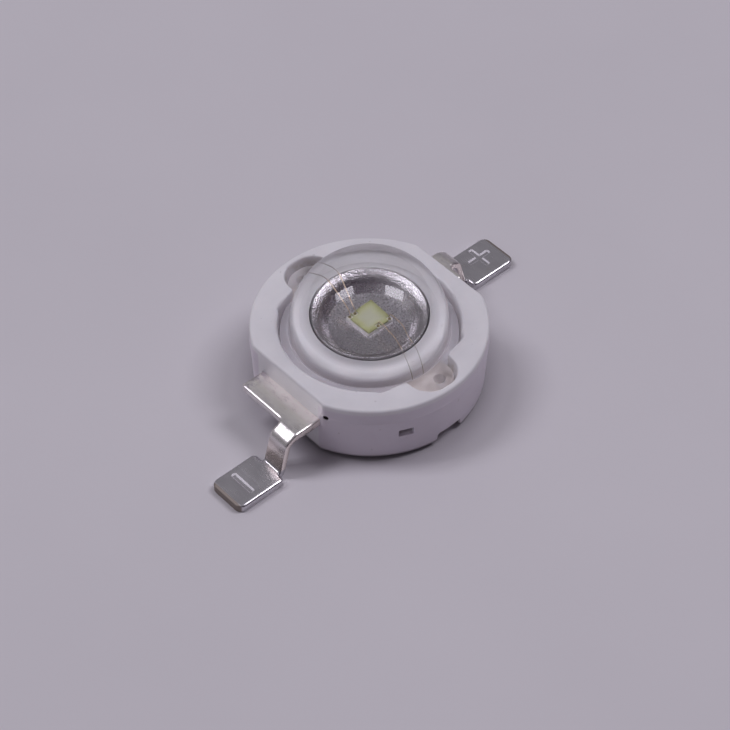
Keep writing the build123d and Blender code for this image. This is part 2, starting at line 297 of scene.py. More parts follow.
def prism(name, outline, levels, frame_m=None):
    """Closed solid through (inset, height) levels of one outline."""
    path = ccw(outline)
    rings = [at_z(offset_loop(path, ins), z) for ins, z in levels]
    verts, faces = skin(rings)
    n = len(path)
    faces.append(tuple(range(n))[::-1])
    faces.append(tuple(len(verts) - n + k for k in range(n)))
    if frame_m is not None:
        verts = [tuple(frame_m @ Vector(v)) for v in verts]
    ob = new_object(name, verts, faces)
    bm = bmesh.new()
    bm.from_mesh(ob.data)
    bmesh.ops.recalc_face_normals(bm, faces=bm.faces)
    bm.to_mesh(ob.data)
    bm.free()
    return ob


def turned(name, profile, n=192, closed=False):
    """Solid of revolution about Z from (r, z) points."""
    rings = []
    g = np.linspace(0, 2 * math.pi, n, endpoint=False)
    for r, z in profile:
        if r < 1e-6:
            rings.append(np.array([[0.0, 0.0, z]]))
        else:
            rings.append(np.stack([r * np.cos(g), r * np.sin(g), np.full(n, z)], 1))
    verts, faces = skin(rings, closed)
    return new_object(name, verts, faces)


# ---------------------------------------------------------------------------
# Node material helpers
# ---------------------------------------------------------------------------
class Mat:
    def __init__(self, name):
        self.m = bpy.data.materials.new(name)
        self.m.use_nodes = True
        self.t = self.m.node_tree
        self.t.nodes.clear()
        self.out = self.t.nodes.new("ShaderNodeOutputMaterial")
        self.x = -200

    def node(self, kind, **values):
        n = self.t.nodes.new("ShaderNode" + kind)
        n.location = (self.x, 0)
        self.x -= 60
        for k, v in values.items():
            if k.startswith("_"):
                setattr(n, k[1:], v)
            else:
                n.inputs[k.replace("_", " ")].default_value = v
        return n

    def link(self, a, b):
        self.t.links.new(a, b)

    def coords(self):
        return self.node("TexCoord").outputs["Object"]

    def scaled(self, vec, sx, sy, sz):
        n = self.node("Mapping")
        n.inputs["Scale"].default_value = (sx, sy, sz)
        self.link(vec, n.inputs["Vector"])
        return n.outputs["Vector"]

    def noise(self, vec, scale, detail=3.0, rough=0.5, distort=0.0):
        n = self.node("TexNoise", Scale=scale, Detail=detail, Roughness=rough, Distortion=distort)
        self.link(vec, n.inputs["Vector"])
        return n.outputs["Fac"]

    def ramp(self, fac, stops, interp="LINEAR"):
        n = self.node("ValToRGB")
        cr = n.color_ramp
        cr.interpolation = interp
        while len(cr.elements) < len(stops):
            cr.elements.new(0.5)
        for e, (pos, col) in zip(cr.elements, stops):
            e.position = pos
            e.color = tuple(col) + ((1.0,) if len(col) == 3 else ())
        self.link(fac, n.inputs["Fac"])
        return n.outputs["Color"]

    def math(self, op, a, b=None, c=None, clamp=False):
        n = self.t.nodes.new("ShaderNodeMath")
        n.operation = op
        n.use_clamp = clamp
        for k, v in enumerate((a, b, c)):
            if v is None:
                continue
            if isinstance(v, (int, float)):
                n.inputs[k].default_value = v
            else:
                self.link(v, n.inputs[k])
        return n.outputs["Value"]

    def mix(self, fac, a, b, blend="MIX"):
        n = self.t.nodes.new("ShaderNodeMix")
        n.data_type = "RGBA"
        n.blend_type = blend
        for key, v in (("Factor", fac), ("A", a), ("B", b)):
            sock = [s for s in n.inputs if s.name == key and (s.type == "RGBA" or key == "Factor" and s.type == "VALUE")][0]
            if isinstance(v, (int, float)):
                sock.default_value = v
            elif isinstance(v, tuple):
                sock.default_value = v + ((1.0,) if len(v) == 3 else ())
            else:
                self.link(v, sock)
        return [s for s in n.outputs if s.type == "RGBA"][0]

    def bump(self, height, strength, distance, normal=None):
        n = self.node("Bump", Strength=strength, Distance=distance)
        self.link(height, n.inputs["Height"])
        if normal is not None:
            self.link(normal, n.inputs["Normal"])
        return n.outputs["Normal"]

    def smooth(self, v, lo, hi):
        n = self.t.nodes.new("ShaderNodeMapRange")
        n.interpolation_type = "SMOOTHSTEP"
        n.inputs["From Min"].default_value = lo
        n.inputs["From Max"].default_value = hi
        self.link(v, n.inputs["Value"])
        return n.outputs["Result"]

    def near(self, vec, point, inner, outer):
        """1 within `inner` of a point, falling to 0 at `outer`; lengths in mm."""
        n = self.t.nodes.new("ShaderNodeVectorMath")
        n.operation = "DISTANCE"
        n.inputs[1].default_value = tuple(c * MM for c in point)
        self.link(vec, n.inputs[0])
        return self.smooth(n.outputs["Value"], outer * MM, inner * MM)

    def finish(self, shader):
        self.link(shader, self.out.inputs["Surface"])
        return self.m


def principled(mat, **values):
    n = mat.node("BsdfPrincipled")
    for k, v in values.items():
        n.inputs[k.replace("_", " ")].default_value = v
    return n


def grey(v, tint=(1.0, 1.0, 1.0)):
    return (v * tint[0], v * tint[1], v * tint[2])


# --- white moulded plastic ---------------------------------------------------
def plastic_material():
    m = Mat("white_plastic")
    co = m.coords()
    sep = m.node("SeparateXYZ")
    m.link(co, sep.inputs["Vector"])
    x, y, z = sep.outputs["X"], sep.outputs["Y"], sep.outputs["Z"]
    r = m.math("SQRT", m.math("ADD", m.math("MULTIPLY", x, x), m.math("MULTIPLY", y, y)))
    cloud = m.noise(co, 900.0, 4.0, 0.55)
    fine = m.noise(co, 14000.0, 3.0, 0.6)
    speck = m.noise(co, 5200.0, 2.0, 0.5)
    base = m.ramp(cloud, [(0.30, (0.775, 0.765, 0.790)), (0.70, (0.835, 0.825, 0.845))])
    # inner recesses: the moat painted darker, which is painted shade with some gel residue and dirt; mottled gel
    # residue in the pockets
    ax = m.math("ABSOLUTE", x)
    ay = m.math("ABSOLUTE", y)
    inner = m.math("MULTIPLY", m.smooth(z, 2.44e-3, 2.10e-3), m.smooth(r, 1.92e-3, 2.02e-3))
    inner = m.math("MULTIPLY", inner, m.smooth(ax, 3.36e-3, 3.30e-3))
    inner = m.math("MULTIPLY", inner, m.smooth(r, 3.84e-3, 3.80e-3))
    pocket = m.math("MULTIPLY", m.smooth(ax, 1.20e-3, 1.00e-3), m.smooth(ay, 2.5e-3, 2.8e-3))
    mottle = m.noise(co, 2400.0, 4.0, 0.6)
    base = m.mix(m.math("MULTIPLY", inner, m.math("MULTIPLY_ADD", pocket, -0.28, 0.35)), base, (0.47, 0.42, 0.47))
    base = m.mix(m.math("MULTIPLY", m.math("MULTIPLY", inner, pocket), m.math("MULTIPLY", m.smooth(mottle, 0.44, 0.62), 0.45)), base, (0.50, 0.46, 0.38))
    # painted shade on the moat floor beside the raised ring
    moat_floor_shade = m.math("MULTIPLY", m.smooth(z, 2.06e-3, 1.90e-3), m.smooth(r, 1.40e-3, 1.50e-3))
    moat_floor_shade = m.math("MULTIPLY", moat_floor_shade, m.smooth(r, 2.30e-3, 2.20e-3))
    base = m.mix(m.math("MULTIPLY", moat_floor_shade, 0.45), base, (0.47, 0.42, 0.44))
    # painted shade: a dark brown strip on the inner wall of the opening, left out of the pockets
    wall = m.math("MULTIPLY", inner, m.smooth(r, 2.93e-3, 3.02e-3))
    wall = m.math("MULTIPLY", wall, m.math("SUBTRACT", 1.0, pocket))
    base = m.mix(m.math("MULTIPLY", wall, 0.26), base, (0.34, 0.29, 0.27))
    # painted shade round the cup: the plastic greys towards the cup, and evenly on the far side of it
    seat = m.math("MULTIPLY", m.smooth(r, 2.05e-3, 1.95e-3), m.smooth(z, 2.02e-3, 2.10e-3))
    facing = m.node("VectorMath", _operation="DOT_PRODUCT")
    m.link(co, facing.inputs[0])
    facing.inputs[1].default_value = (0.67, 0.743, 0.0)
    far = m.math("MULTIPLY", seat, m.smooth(facing.outputs["Value"], 0.55e-3, 1.30e-3))
    cupside_shade = m.math("MULTIPLY", m.math("MULTIPLY", seat, m.smooth(r, 1.66e-3, 1.36e-3)), m.math("SUBTRACT", 1.0, far))
    base = m.mix(m.math("MULTIPLY", cupside_shade, 0.90), base, (0.38, 0.37, 0.385))
    base = m.mix(m.math("MULTIPLY", far, 0.72), base, (0.50, 0.49, 0.505))
    # painted shade: a darker band on the far side of the raised ring
    back = m.math("MULTIPLY", m.smooth(facing.outputs["Value"], 1.00e-3, 1.45e-3), m.math("MULTIPLY", m.smooth(r, 1.715e-3, 1.765e-3), m.smooth(r, 2.15e-3, 2.05e-3)))
    base = m.mix(m.math("MULTIPLY", back, 0.55), base, (0.27, 0.26, 0.27))
    # painted shade: the seat darkened towards its two flanks across the camera's view
    across = m.node("VectorMath", _operation="DOT_PRODUCT")
    m.link(co, across.inputs[0])
    across.inputs[1].default_value = (0.743, -0.67, 0.0)
    flank_shade = m.math("MULTIPLY", seat, m.smooth(m.math("ABSOLUTE", across.outputs["Value"]), 0.70e-3, 1.40e-3))
    base = m.mix(m.math("MULTIPLY", flank_shade, 0.50), base, (0.55, 0.54, 0.56))
    # a crumb of dried gel stuck on the back of the cup's rim
    crumb = m.near(co, (1.055, 0.985, 2.33), 0.018, 0.034)
    base = m.mix(m.math("MULTIPLY", crumb, 0.9), base, (0.13, 0.12, 0.045))
    # outer wall below the rim: painted shade, faintly purple
    outer = m.math("MULTIPLY", m.smooth(z, 2.34e-3, 2.20e-3), m.smooth(r, 3.86e-3, 3.90e-3))
    base = m.mix(m.math("MULTIPLY", outer, 0.36), base, (0.60, 0.48, 0.62))
    # painted shadow: the underside and the foot of the wall nearly black
    under = m.smooth(z, 0.30e-3, 0.17e-3)
    base = m.mix(m.math("MULTIPLY", under, 0.95), base, (0.09, 0.075, 0.085))
    # pin holes beside the leads: mouths and bores painted near black, painted shade with a rust tint
    for turn in (0, 180):
        g = math.radians(-152.8 + turn)
        pin = m.near(co, (BODY_R * math.cos(g), BODY_R * math.sin(g), 1.875), 0.075, 0.115)
        base = m.mix(m.math("MULTIPLY", pin, 0.97), base, (0.022, 0.012, 0.012))
        for deep in (0.20, 0.36):
            bore = m.near(co, ((BODY_R - deep) * math.cos(g), (BODY_R - deep) * math.sin(g), 1.87), 0.17, 0.19)
            base = m.mix(m.math("MULTIPLY", bore, 0.97), base, (0.022, 0.012, 0.012))
    # darker towards the lower edge, and small specks
    low = m.smooth(z, 0.55e-3, 0.17e-3)
    base = m.mix(m.math("MULTIPLY", low, 0.18), base, (0.50, 0.46, 0.48))
    dots = m.smooth(speck, 0.715, 0.745)
    base = m.mix(m.math("MULTIPLY", dots, 0.30), base, (0.42, 0.38, 0.38))
    bs = principled(m, Roughness=0.42, IOR=1.52)
    m.link(base, bs.inputs["Base Color"])
    rough = m.ramp(cloud, [(0.3, grey(0.36)), (0.7, grey(0.50))])
    m.link(rough, bs.inputs["Roughness"])
    bs.inputs["Subsurface Weight"].default_value = 0.12
    bs.inputs["Subsurface Radius"].default_value = (0.00022, 0.00018, 0.00016)
    bs.inputs["Subsurface Scale"].default_value = 1.0
    n1 = m.bump(fine, 0.35, 3.0e-6)
    n2 = m.bump(cloud, 0.30, 2.0e-5, n1)
    m.link(n2, bs.inputs["Normal"])
    return m.finish(bs.outputs["BSDF"])


# --- silver plate on the leads: satin, brushed along the strip ------------------
def silver_material():
    m = Mat("silver_plate")
    co = m.coords()
    sep = m.node("SeparateXYZ")
    m.link(co, sep.inputs["Vector"])
    ax = m.math("ABSOLUTE", sep.outputs["X"])
    tab = m.smooth(sep.outputs["Z"], 1.30e-3, 1.56e-3)
    lines = m.noise(m.scaled(co, 1.0, 0.16, 1.0), 8000.0, 4.0, 0.60)
    cloud = m.noise(m.scaled(co, 1.0, 0.45, 1.0), 1500.0, 4.0, 0.6)
    grain = m.noise(co, 21000.0, 3.0, 0.55)
    foot = m.ramp(cloud, [(0.30, (0.57, 0.555, 0.585)), (0.68, (0.68, 0.665, 0.69))])
    # across the tab: grey by the bend, a pale yellowish band, then faintly pink by the wall
    wav = m.math("ADD", ax, m.math("MULTIPLY", m.math("SUBTRACT", cloud, 0.5), 0.30e-3))
    part = m.smooth(wav, 3.58e-3, 4.60e-3)
    across = m.ramp(part, [(0.0, (0.96, 0.89, 0.86)), (0.25, (0.95, 0.89, 0.85)), (0.50, (0.97, 0.94, 0.86)), (0.72, (0.91, 0.88, 0.84)), (1.0, (0.80, 0.77, 0.77))])
    base = m.mix(tab, foot, across)
    # upright of the neck: painted reflections, brownish with a paler band under the bend
    z = sep.outputs["Z"]
    neck = m.math("MULTIPLY", m.math("MULTIPLY", m.smooth(ax, 4.72e-3, 4.86e-3), m.smooth(ax, 5.36e-3, 5.26e-3)), m.smooth(z, 0.30e-3, 0.38e-3))
    wavz = m.math("ADD", z, m.math("MULTIPLY", m.math("SUBTRACT", cloud, 0.5), 0.35e-3))
    upright_reflection = m.ramp(m.smooth(wavz, 0.40e-3, 1.40e-3), [(0.0, (0.50, 0.43, 0.39)), (0.36, (0.64, 0.55, 0.50)), (0.52, (0.94, 0.86, 0.81)), (0.66, (0.92, 0.84, 0.80)), (0.80, (0.58, 0.52, 0.50)), (1.0, (0.80, 0.77, 0.76))])
    nrm = m.node("SeparateXYZ")
    m.link(m.node("TexCoord").outputs["Normal"], nrm.inputs["Vector"])
    side = m.smooth(m.math("ABSOLUTE", nrm.outputs["Y"]), 0.45, 0.70)
    neck = m.math("MULTIPLY", neck, m.math("SUBTRACT", 1.0, side))
    base = m.mix(m.math("MULTIPLY", neck, 0.85), base, upright_reflection)
    edge = m.math("MULTIPLY", side, m.smooth(z, 0.32e-3, 0.40e-3))
    base = m.mix(edge, base, (0.92, 0.84, 0.79))
    # mottled end of the near tab
    end = m.math("MULTIPLY", m.smooth(sep.outputs["X"], -3.45e-3, -3.55e-3), m.smooth(sep.outputs["Y"], 0.78e-3, 1.22e-3))
    end = m.math("MULTIPLY", m.math("MULTIPLY", end, tab), m.smooth(m.noise(co, 4200.0, 4.0, 0.65), 0.36, 0.60))
    base = m.mix(m.math("MULTIPLY", end, 0.75), base, (0.40, 0.35, 0.42))
    # tarnished brownish end of the foot
    tip = m.smooth(ax, 7.10e-3, 7.17e-3)
    base = m.mix(m.math("MULTIPLY", tip, 0.9), base, (0.26, 0.22, 0.19))
    # inside the housing
    inside = m.smooth(ax, 3.56e-3, 3.46e-3)
    base = m.mix(m.math("MULTIPLY", inside, 0.85), base, (0.66, 0.60, 0.57))
    tarnish = m.smooth(m.noise(co, 2600.0, 3.0, 0.6), 0.60, 0.74)
    base = m.mix(m.math("MULTIPLY", tarnish, 0.22), base, (0.58, 0.52, 0.47))
    # scuffs on the tab and dull grains on the crease
    scuffs = m.noise(m.scaled(co, 1.0, 0.5, 1.0), 7000.0, 4.0, 0.7)
    base = m.mix(m.math("MULTIPLY", tab, m.math("MULTIPLY", m.smooth(scuffs, 0.46, 0.64), 0.75)), base, (0.97, 0.94, 0.89))
    base = m.mix(m.math("MULTIPLY", tab, m.math("MULTIPLY", m.smooth(scuffs, 0.46, 0.34), 0.45)), base, (0.66, 0.62, 0.60))
    crease = m.math("MULTIPLY", m.smooth(sep.outputs["X"], -4.50e-3, -4.56e-3), m.smooth(z, 1.45e-3, 1.58e-3))
    crease = m.math("MULTIPLY", crease, m.smooth(m.math("MULTIPLY", sep.outputs["X"], sep.outputs["Y"]), 3.0e-6, 3.6e-6))
    crumple = m.noise(co, 7500.0, 4.0, 0.65)
    base = m.mix(m.math("MULTIPLY", crease, m.math("MULTIPLY", m.smooth(crumple, 0.47, 0.60), 0.55)), base, (0.34, 0.33, 0.32))
    bs = principled(m, Metallic=1.0)
    m.link(base, bs.inputs["Base Color"])
    rr = m.ramp(lines, [(0.30, grey(0.21)), (0.70, grey(0.29))])
    rt = m.ramp(m.math("ADD", m.math("MULTIPLY", lines, 0.5), m.math("MULTIPLY", cloud, 0.5)), [(0.35, grey(0.27)), (0.65, grey(0.38))])
    rough = m.mix(tab, rr, rt)
    # the sloping walls of the stamped mark are dull
    tilt = m.node("SeparateXYZ")
    m.link(m.node("TexCoord").outputs["Normal"], tilt.inputs["Vector"])
    ay = m.math("ABSOLUTE", sep.outputs["Y"])
    mark = m.math("MULTIPLY", m.smooth(ax, 5.80e-3, 5.84e-3), m.smooth(ax, 7.02e-3, 6.98e-3))
    mark = m.math("MULTIPLY", mark, m.math("MULTIPLY", m.smooth(ay, 0.50e-3, 0.54e-3), m.smooth(ay, 1.77e-3, 1.73e-3)))
    mark = m.math("MULTIPLY", mark, m.smooth(tilt.outputs["Z"], 0.975, 0.93))
    rough = m.mix(mark, rough, grey(0.62))
    rough = m.mix(m.math("MULTIPLY", inside, 0.8), rough, grey(0.62))
    rough = m.mix(tip, rough, grey(0.60))
    # creased, matt skin where the strip is bent over
    rough = m.mix(m.math("MULTIPLY", crease, m.smooth(crumple, 0.42, 0.60)), rough, grey(0.40))
    m.link(rough, bs.inputs["Roughness"])
    n0 = m.bump(m.math("MULTIPLY", crumple, crease), 0.8, 9.0e-6)
    n1 = m.bump(lines, 0.22, 1.6e-6, n0)
    n2 = m.bump(grain, 0.30, 8.0e-7, n1)
    n3 = m.bump(cloud, 0.45, 1.2e-5, n2)
    n4 = m.bump(m.noise(co, 3400.0, 2.0, 0.5), 0.50, 6.0e-6, n3)
    m.link(n4, bs.inputs["Normal"])
    return m.finish(bs.outputs["BSDF"])


# --- the reflector cup and slug -------------------------------------------------
def cup_material():
    m = Mat("cup_silver")
    co = m.coords()
    sep = m.node("SeparateXYZ")
    m.link(co, sep.inputs["Vector"])
    x = m.math("SUBTRACT", sep.outputs["X"], CUP_OFF[0] * 1e-3)
    y = m.math("SUBTRACT", sep.outputs["Y"], CUP_OFF[1] * 1e-3)
    r = m.math("SQRT", m.math("ADD", m.math("MULTIPLY", x, x), m.math("MULTIPLY", y, y)))
    wall = m.smooth(r, 0.885e-3, 0.900e-3)
    rim = m.smooth(r, 1.02e-3, 1.14e-3)
    pits = m.noise(co, 24000.0, 4.0, 0.62)
    cloud = m.noise(co, 2200.0, 3.0, 0.55)
    spots = m.node("TexVoronoi", Scale=6500.0)
    m.link(co, spots.inputs["Vector"])
    base = m.ramp(cloud, [(0.30, (0.72, 0.68, 0.73)), (0.70, (0.86, 0.83, 0.88))])
    dark = m.smooth(spots.outputs["Distance"], 0.15, 0.07)
    base = m.mix(m.math("MULTIPLY", dark, 0.45), base, (0.34, 0.30, 0.32))
    # the floor is duller than the wall, and both are speckled
    base = m.mix(wall, m.mix(0.80, base, (0.50, 0.48, 0.51)), m.mix(0.80, base, (0.97, 0.94, 0.98)))
    grit = m.noise(co, 30000.0, 3.0, 0.7)
    base = m.mix(m.math("MULTIPLY", m.smooth(grit, 0.52, 0.60), m.math("MULTIPLY_ADD", wall, 0.10, 0.12)), base, (0.20, 0.18, 0.20))
    # painted shade: the near half of the wall darker than the far half
    facing = m.node("VectorMath", _operation="DOT_PRODUCT")
    m.link(co, facing.inputs[0])
    facing.inputs[1].default_value = (0.67, 0.743, 0.0)
    near = m.math("MULTIPLY", wall, m.smooth(facing.outputs["Value"], 0.78e-3, 0.36e-3))
    base = m.mix(m.math("MULTIPLY", near, 0.55), base, (0.34, 0.32, 0.34))
    # the flare below the lip is darkened to keep its bright crescents down: painted shade
    base = m.mix(m.math("MULTIPLY", rim, 0.40), base, (0.30, 0.29, 0.30))
    bs = principled(m, Metallic=1.0, Roughness=0.24)
    m.link(base, bs.inputs["Base Color"])
    low = m.ramp(pits, [(0.35, grey(0.24)), (0.70, grey(0.34))])
    high = m.mix(rim, m.ramp(pits, [(0.35, grey(0.22)), (0.70, grey(0.32))]), m.ramp(pits, [(0.35, grey(0.15)), (0.70, grey(0.23))]))
    m.link(m.mix(wall, low, high), bs.inputs["Roughness"])
    n1 = m.bump(m.math("MULTIPLY", pits, m.math("MULTIPLY_ADD", rim, 1.4, 0.6)), 0.90, 8.5e-6)
    n2 = m.bump(cloud, 0.45, 1.6e-5, n1)
    m.link(n2, bs.inputs["Normal"])
    return m.finish(bs.outputs["BSDF"])


# --- clear lens: glass outside, open to the gel inside ----------------------------
def clear_outer():
    m = Mat("clear_lens")
    co = m.coords()
    glass = m.node("BsdfGlass", Roughness=0.0, IOR=1.5)
    glass.inputs["Color"].default_value = (0.985, 0.985, 0.99, 1.0)
    ripple = m.noise(co, 700.0, 2.0, 0.5)
    scuff = m.noise(m.scaled(co, 1.0, 0.25, 1.0), 9000.0, 3.0, 0.6)
    n1 = m.bump(ripple, 0.25, 6.0e-6)
    m.link(n1, glass.inputs["Normal"])
    haze = m.ramp(scuff, [(0.62, grey(0.0)), (0.80, grey(0.045))])
    sep = m.node("SeparateXYZ")
    m.link(co, sep.inputs["Vector"])
    # the flange and its tabs are left dull by the mould
    dull = m.smooth(sep.outputs["Z"], 2.22e-3, 2.16e-3)
    m.link(m.mix(dull, haze, grey(0.30)), glass.inputs["Roughness"])
    # the dome gathers light towards its axis, so less of it reaches the foot
    rise = m.node("MapRange")
    rise.inputs["From Min"].default_value = 2.05e-3
    rise.inputs["From Max"].default_value = 5.05e-3
    m.link(sep.outputs["Z"], rise.inputs["Value"])
    gather = m.ramp(rise.outputs["Result"], [(0.0, (0.40, 0.39, 0.40)), (0.22, (0.46, 0.45, 0.46)), (0.55, (0.62, 0.62, 0.63)), (1.0, (0.72, 0.72, 0.73))])
    clear = m.node("BsdfTransparent")
    m.link(gather, clear.inputs["Color"])
    path = m.node("LightPath")
    mix = m.node("MixShader")
    m.link(path.outputs["Is Shadow Ray"], mix.inputs["Fac"])
    m.link(glass.outputs["BSDF"], mix.inputs[1])
    m.link(clear.outputs["BSDF"], mix.inputs[2])
    return m.finish(mix.outputs["Shader"])


def clear_inner(name, tint):
    m = Mat(name)
    co = m.coords()
    clear = m.node("BsdfTransparent")
    col = m.ramp(m.noise(co, 800.0, 2.0), [(0.3, tint), (0.7, tuple(min(1.0, c + 0.01) for c in tint))])
    m.link(col, clear.inputs["Color"])
    return m.finish(clear.outputs["BSDF"])


# --- chip stack ---------------------------------------------------------------------
def phosphor_material(cx, cy, half):
    m = Mat("phosphor")
    co = m.coords()
    sep = m.node("SeparateXYZ")
    m.link(co, sep.inputs["Vector"])
    dx = m.math("ABSOLUTE", m.math("SUBTRACT", sep.outputs["X"], cx * MM))
    dy = m.math("ABSOLUTE", m.math("SUBTRACT", sep.outputs["Y"], cy * MM))
    edge = m.math("DIVIDE", m.math("MAXIMUM", dx, dy), half * MM)
    wob = m.noise(co, 7000.0, 3.0, 0.6)
    edge = m.math("ADD", edge, m.math("MULTIPLY", m.math("SUBTRACT", wob, 0.5), 0.5))
    base = m.ramp(edge, [(0.30, (0.40, 0.41, 0.30)), (0.60, (0.39, 0.40, 0.25)), (0.86, (0.33, 0.345, 0.16)), (1.0, (0.22, 0.23, 0.08))])
    grain = m.noise(co, 30000.0, 3.0, 0.6)
    bs = principled(m, Roughness=0.55)
    m.link(base, bs.inputs["Base Color"])
    n1 = m.bump(grain, 0.7, 3.0e-6)
    m.link(n1, bs.inputs["Normal"])
    return m.finish(bs.outputs["BSDF"])


def die_material():
    m = Mat("chip")
    co = m.coords()
    base = m.ramp(m.noise(co, 9000.0, 3.0), [(0.35, (0.70, 0.69, 0.66)), (0.70, (0.86, 0.85, 0.82))])
    bs = principled(m, Roughness=0.12)
    m.link(base, bs.inputs["Base Color"])
    n1 = m.bump(m.noise(co, 24000.0, 2.0), 0.3, 1.0e-6)
    m.link(n1, bs.inputs["Normal"])
    return m.finish(bs.outputs["BSDF"])


def epoxy_material():
    m = Mat("silver_epoxy")
    co = m.coords()
    base = m.ramp(m.noise(co, 12000.0, 3.0), [(0.35, (0.40, 0.38, 0.38)), (0.70, (0.62, 0.60, 0.61))])
    bs = principled(m, Metallic=0.7, Roughness=0.42)
    m.link(base, bs.inputs["Base Color"])
    n1 = m.bump(m.noise(co, 26000.0, 3.0), 0.8, 3.0e-6)
    m.link(n1, bs.inputs["Normal"])
    return m.finish(bs.outputs["BSDF"])


def gold_material():
    m = Mat("gold_wire")
    co = m.coords()
    sep = m.node("SeparateXYZ")
    m.link(co, sep.inputs["Vector"])
    x, y = sep.outputs["X"], sep.outputs["Y"]
    r = m.math("SQRT", m.math("ADD", m.math("MULTIPLY", x, x), m.math("MULTIPLY", y, y)))
    base = m.ramp(m.noise(co, 9000.0, 2.0), [(0.35, (0.62, 0.47, 0.33)), (0.70, (0.80, 0.66, 0.50))])
    # dull and grey where it crosses the plastic, dark olive at the bonds on the chip
    base = m.mix(m.smooth(r, 1.28e-3, 1.42e-3), base, (0.36, 0.335, 0.31))
    base = m.mix(m.smooth(sep.outputs["Z"], 2.34e-3, 2.29e-3), base, (0.26, 0.22, 0.10))
    bs = principled(m, Metallic=1.0, Roughness=0.42)
    m.link(base, bs.inputs["Base Color"])
    n1 = m.bump(m.noise(co, 40000.0, 2.0), 0.2, 5.0e-7)
    m.link(n1, bs.inputs["Normal"])
    return m.finish(bs.outputs["BSDF"])


def floor_material():
    m = Mat("floor_paper")
    co = m.coords()
    soft = m.noise(co, 55.0, 4.0, 0.55)
    grain = m.noise(co, 5200.0, 4.0, 0.65)
    base = m.ramp(soft, [(0.30, (0.664, 0.643, 0.675)), (0.70, (0.698, 0.676, 0.708))])
    base = m.mix(m.math("MULTIPLY", m.smooth(grain, 0.60, 0.80), 0.10), base, (0.58, 0.56, 0.60))
    # painted contact shadow: the floor darkened in a ring round the foot of the housing
    sep = m.node("SeparateXYZ")
    m.link(co, sep.inputs["Vector"])
    r = m.math("SQRT", m.math("ADD", m.math("MULTIPLY", sep.outputs["X"], sep.outputs["X"]), m.math("MULTIPLY", sep.outputs["Y"], sep.outputs["Y"])))
    base = m.mix(m.math("MULTIPLY", m.smooth(r, 4.80e-3, 4.00e-3), 0.45), base, (0.36, 0.33, 0.37))
    bs = principled(m, Roughness=0.75)
    bs.inputs["Specular IOR Level"].default_value = 0.25
    m.link(base, bs.inputs["Base Color"])
    n1 = m.bump(grain, 0.25, 1.2e-5)
    m.link(n1, bs.inputs["Normal"])
    return m.finish(bs.outputs["BSDF"])


MAT_PLASTIC = plastic_material()
MAT_LEAD = silver_material()
MAT_CUP = cup_material()
MAT_CLEAR = clear_outer()
MAT_OPEN = clear_inner("lens_inner_face", (0.985, 0.985, 0.985))
MAT_GEL = clear_inner("silicone", (0.985, 0.985, 0.98))
MAT_EPOXY = epoxy_material()
MAT_DIE = die_material()
MAT_GOLD = gold_material()


def dress(ob, node, mats):
    if not isinstance(mats, (list, tuple)):
        mats = [mats]
    for m in mats:
        ob.data.materials.append(m)
    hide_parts(node)
    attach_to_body(ob, "root")
    return ob


# ---------------------------------------------------------------------------
# Housing: one loft of matched outlines, then the pockets, windows and slots
# ---------------------------------------------------------------------------
def angle_list():
    out = []
    for q in range(4):
        marks = []
        a = 0.0
        while a < 90.0 - 1e-9:
            marks.append(a)
            step = 1.5
            if 20.5 <= a < 28.5:
                step = 0.35
            elif 52.0 <= a < 57.5:
                step = 0.35
            elif 64.5 <= a < 80.0:
                step = 0.3
            a += step
        if q % 2:
            marks = [90.0 - m for m in marks][::-1]
            out += [m + 90.0 * q for m in marks]
        else:
            out += [m + 90.0 * q for m in marks]
    out = sorted(set(round(o % 360.0, 4) for o in out))
    return np.radians(np.array(out))


PHI = angle_list()
NPHI = len(PHI)


def outer_loop(R):
    flat = np.where(np.cos(PHI) > 0, FLAT_P, FLAT_N) / np.maximum(1e-6, np.abs(np.cos(PHI)))
    r = soft_min(np.full(NPHI, R), flat, 0.012)
    r = np.minimum(r, flat)
    return np.stack([r * np.cos(PHI), r * np.sin(PHI)], 1)


def opening_radius(d):
    """Radius of the opening at angle d, before it is softened."""
    circle = np.full_like(d, OPEN_R)
    # short chords beside the pockets, which end in small steps in the rim
    for side in range(4):
        sgn = 1 if side in (0, 2) else -1
        base = 0.0 if side in (0, 3) else math.pi
        a = (d - base) * sgn
        a = (a + math.pi) % (2 * math.pi) - math.pi
        k0, k1 = math.radians(53.6), math.radians(68.0)
        r0, r1 = OPEN_R + 0.09, OPEN_R - 0.09
        p0 = np.array([r0 * math.cos(k0), r0 * math.sin(k0)])
        p1 = np.array([r1 * math.cos(k1), r1 * math.sin(k1)])
        e = p1 - p0
        nrm = np.array([e[1], -e[0]]) / np.linalg.norm(e)
        dist = float(nrm @ p0)
        chord = dist / np.maximum(1e-6, nrm[0] * np.cos(a) + nrm[1] * np.sin(a))
        inside = (a >= k0) & (a <= math.radians(76.0))
        circle = np.where(inside, chord, circle)
        ease = (a > k0 - math.radians(2.6)) & (a < k0)
        circle = np.where(ease, OPEN_R + 0.09 * (a - k0 + math.radians(2.6)) / math.radians(2.6), circle)
    return np.maximum(circle, rect_radius(d, POCKET_HX, POCKET_Y1, POCKET_C))


def opening_loop():
    d = np.linspace(0, 2 * math.pi, 7200, endpoint=False)
    r = opening_radius(d)
    return smooth_loop(np.stack([r * np.cos(d), r * np.sin(d)], 1), 0.045)


# Seat of the cup, from the moat inwards: raised ring, hollow, collar against the cup.
SEAT = [
    (2.45, MOAT_Z), (RING_R + 0.03, MOAT_Z, 0.08), (RING_R, 2.150, 0.16), (1.60, 2.215, 0.30),
    (1.346, 2.320, 0.020), (1.342, 2.14),
]


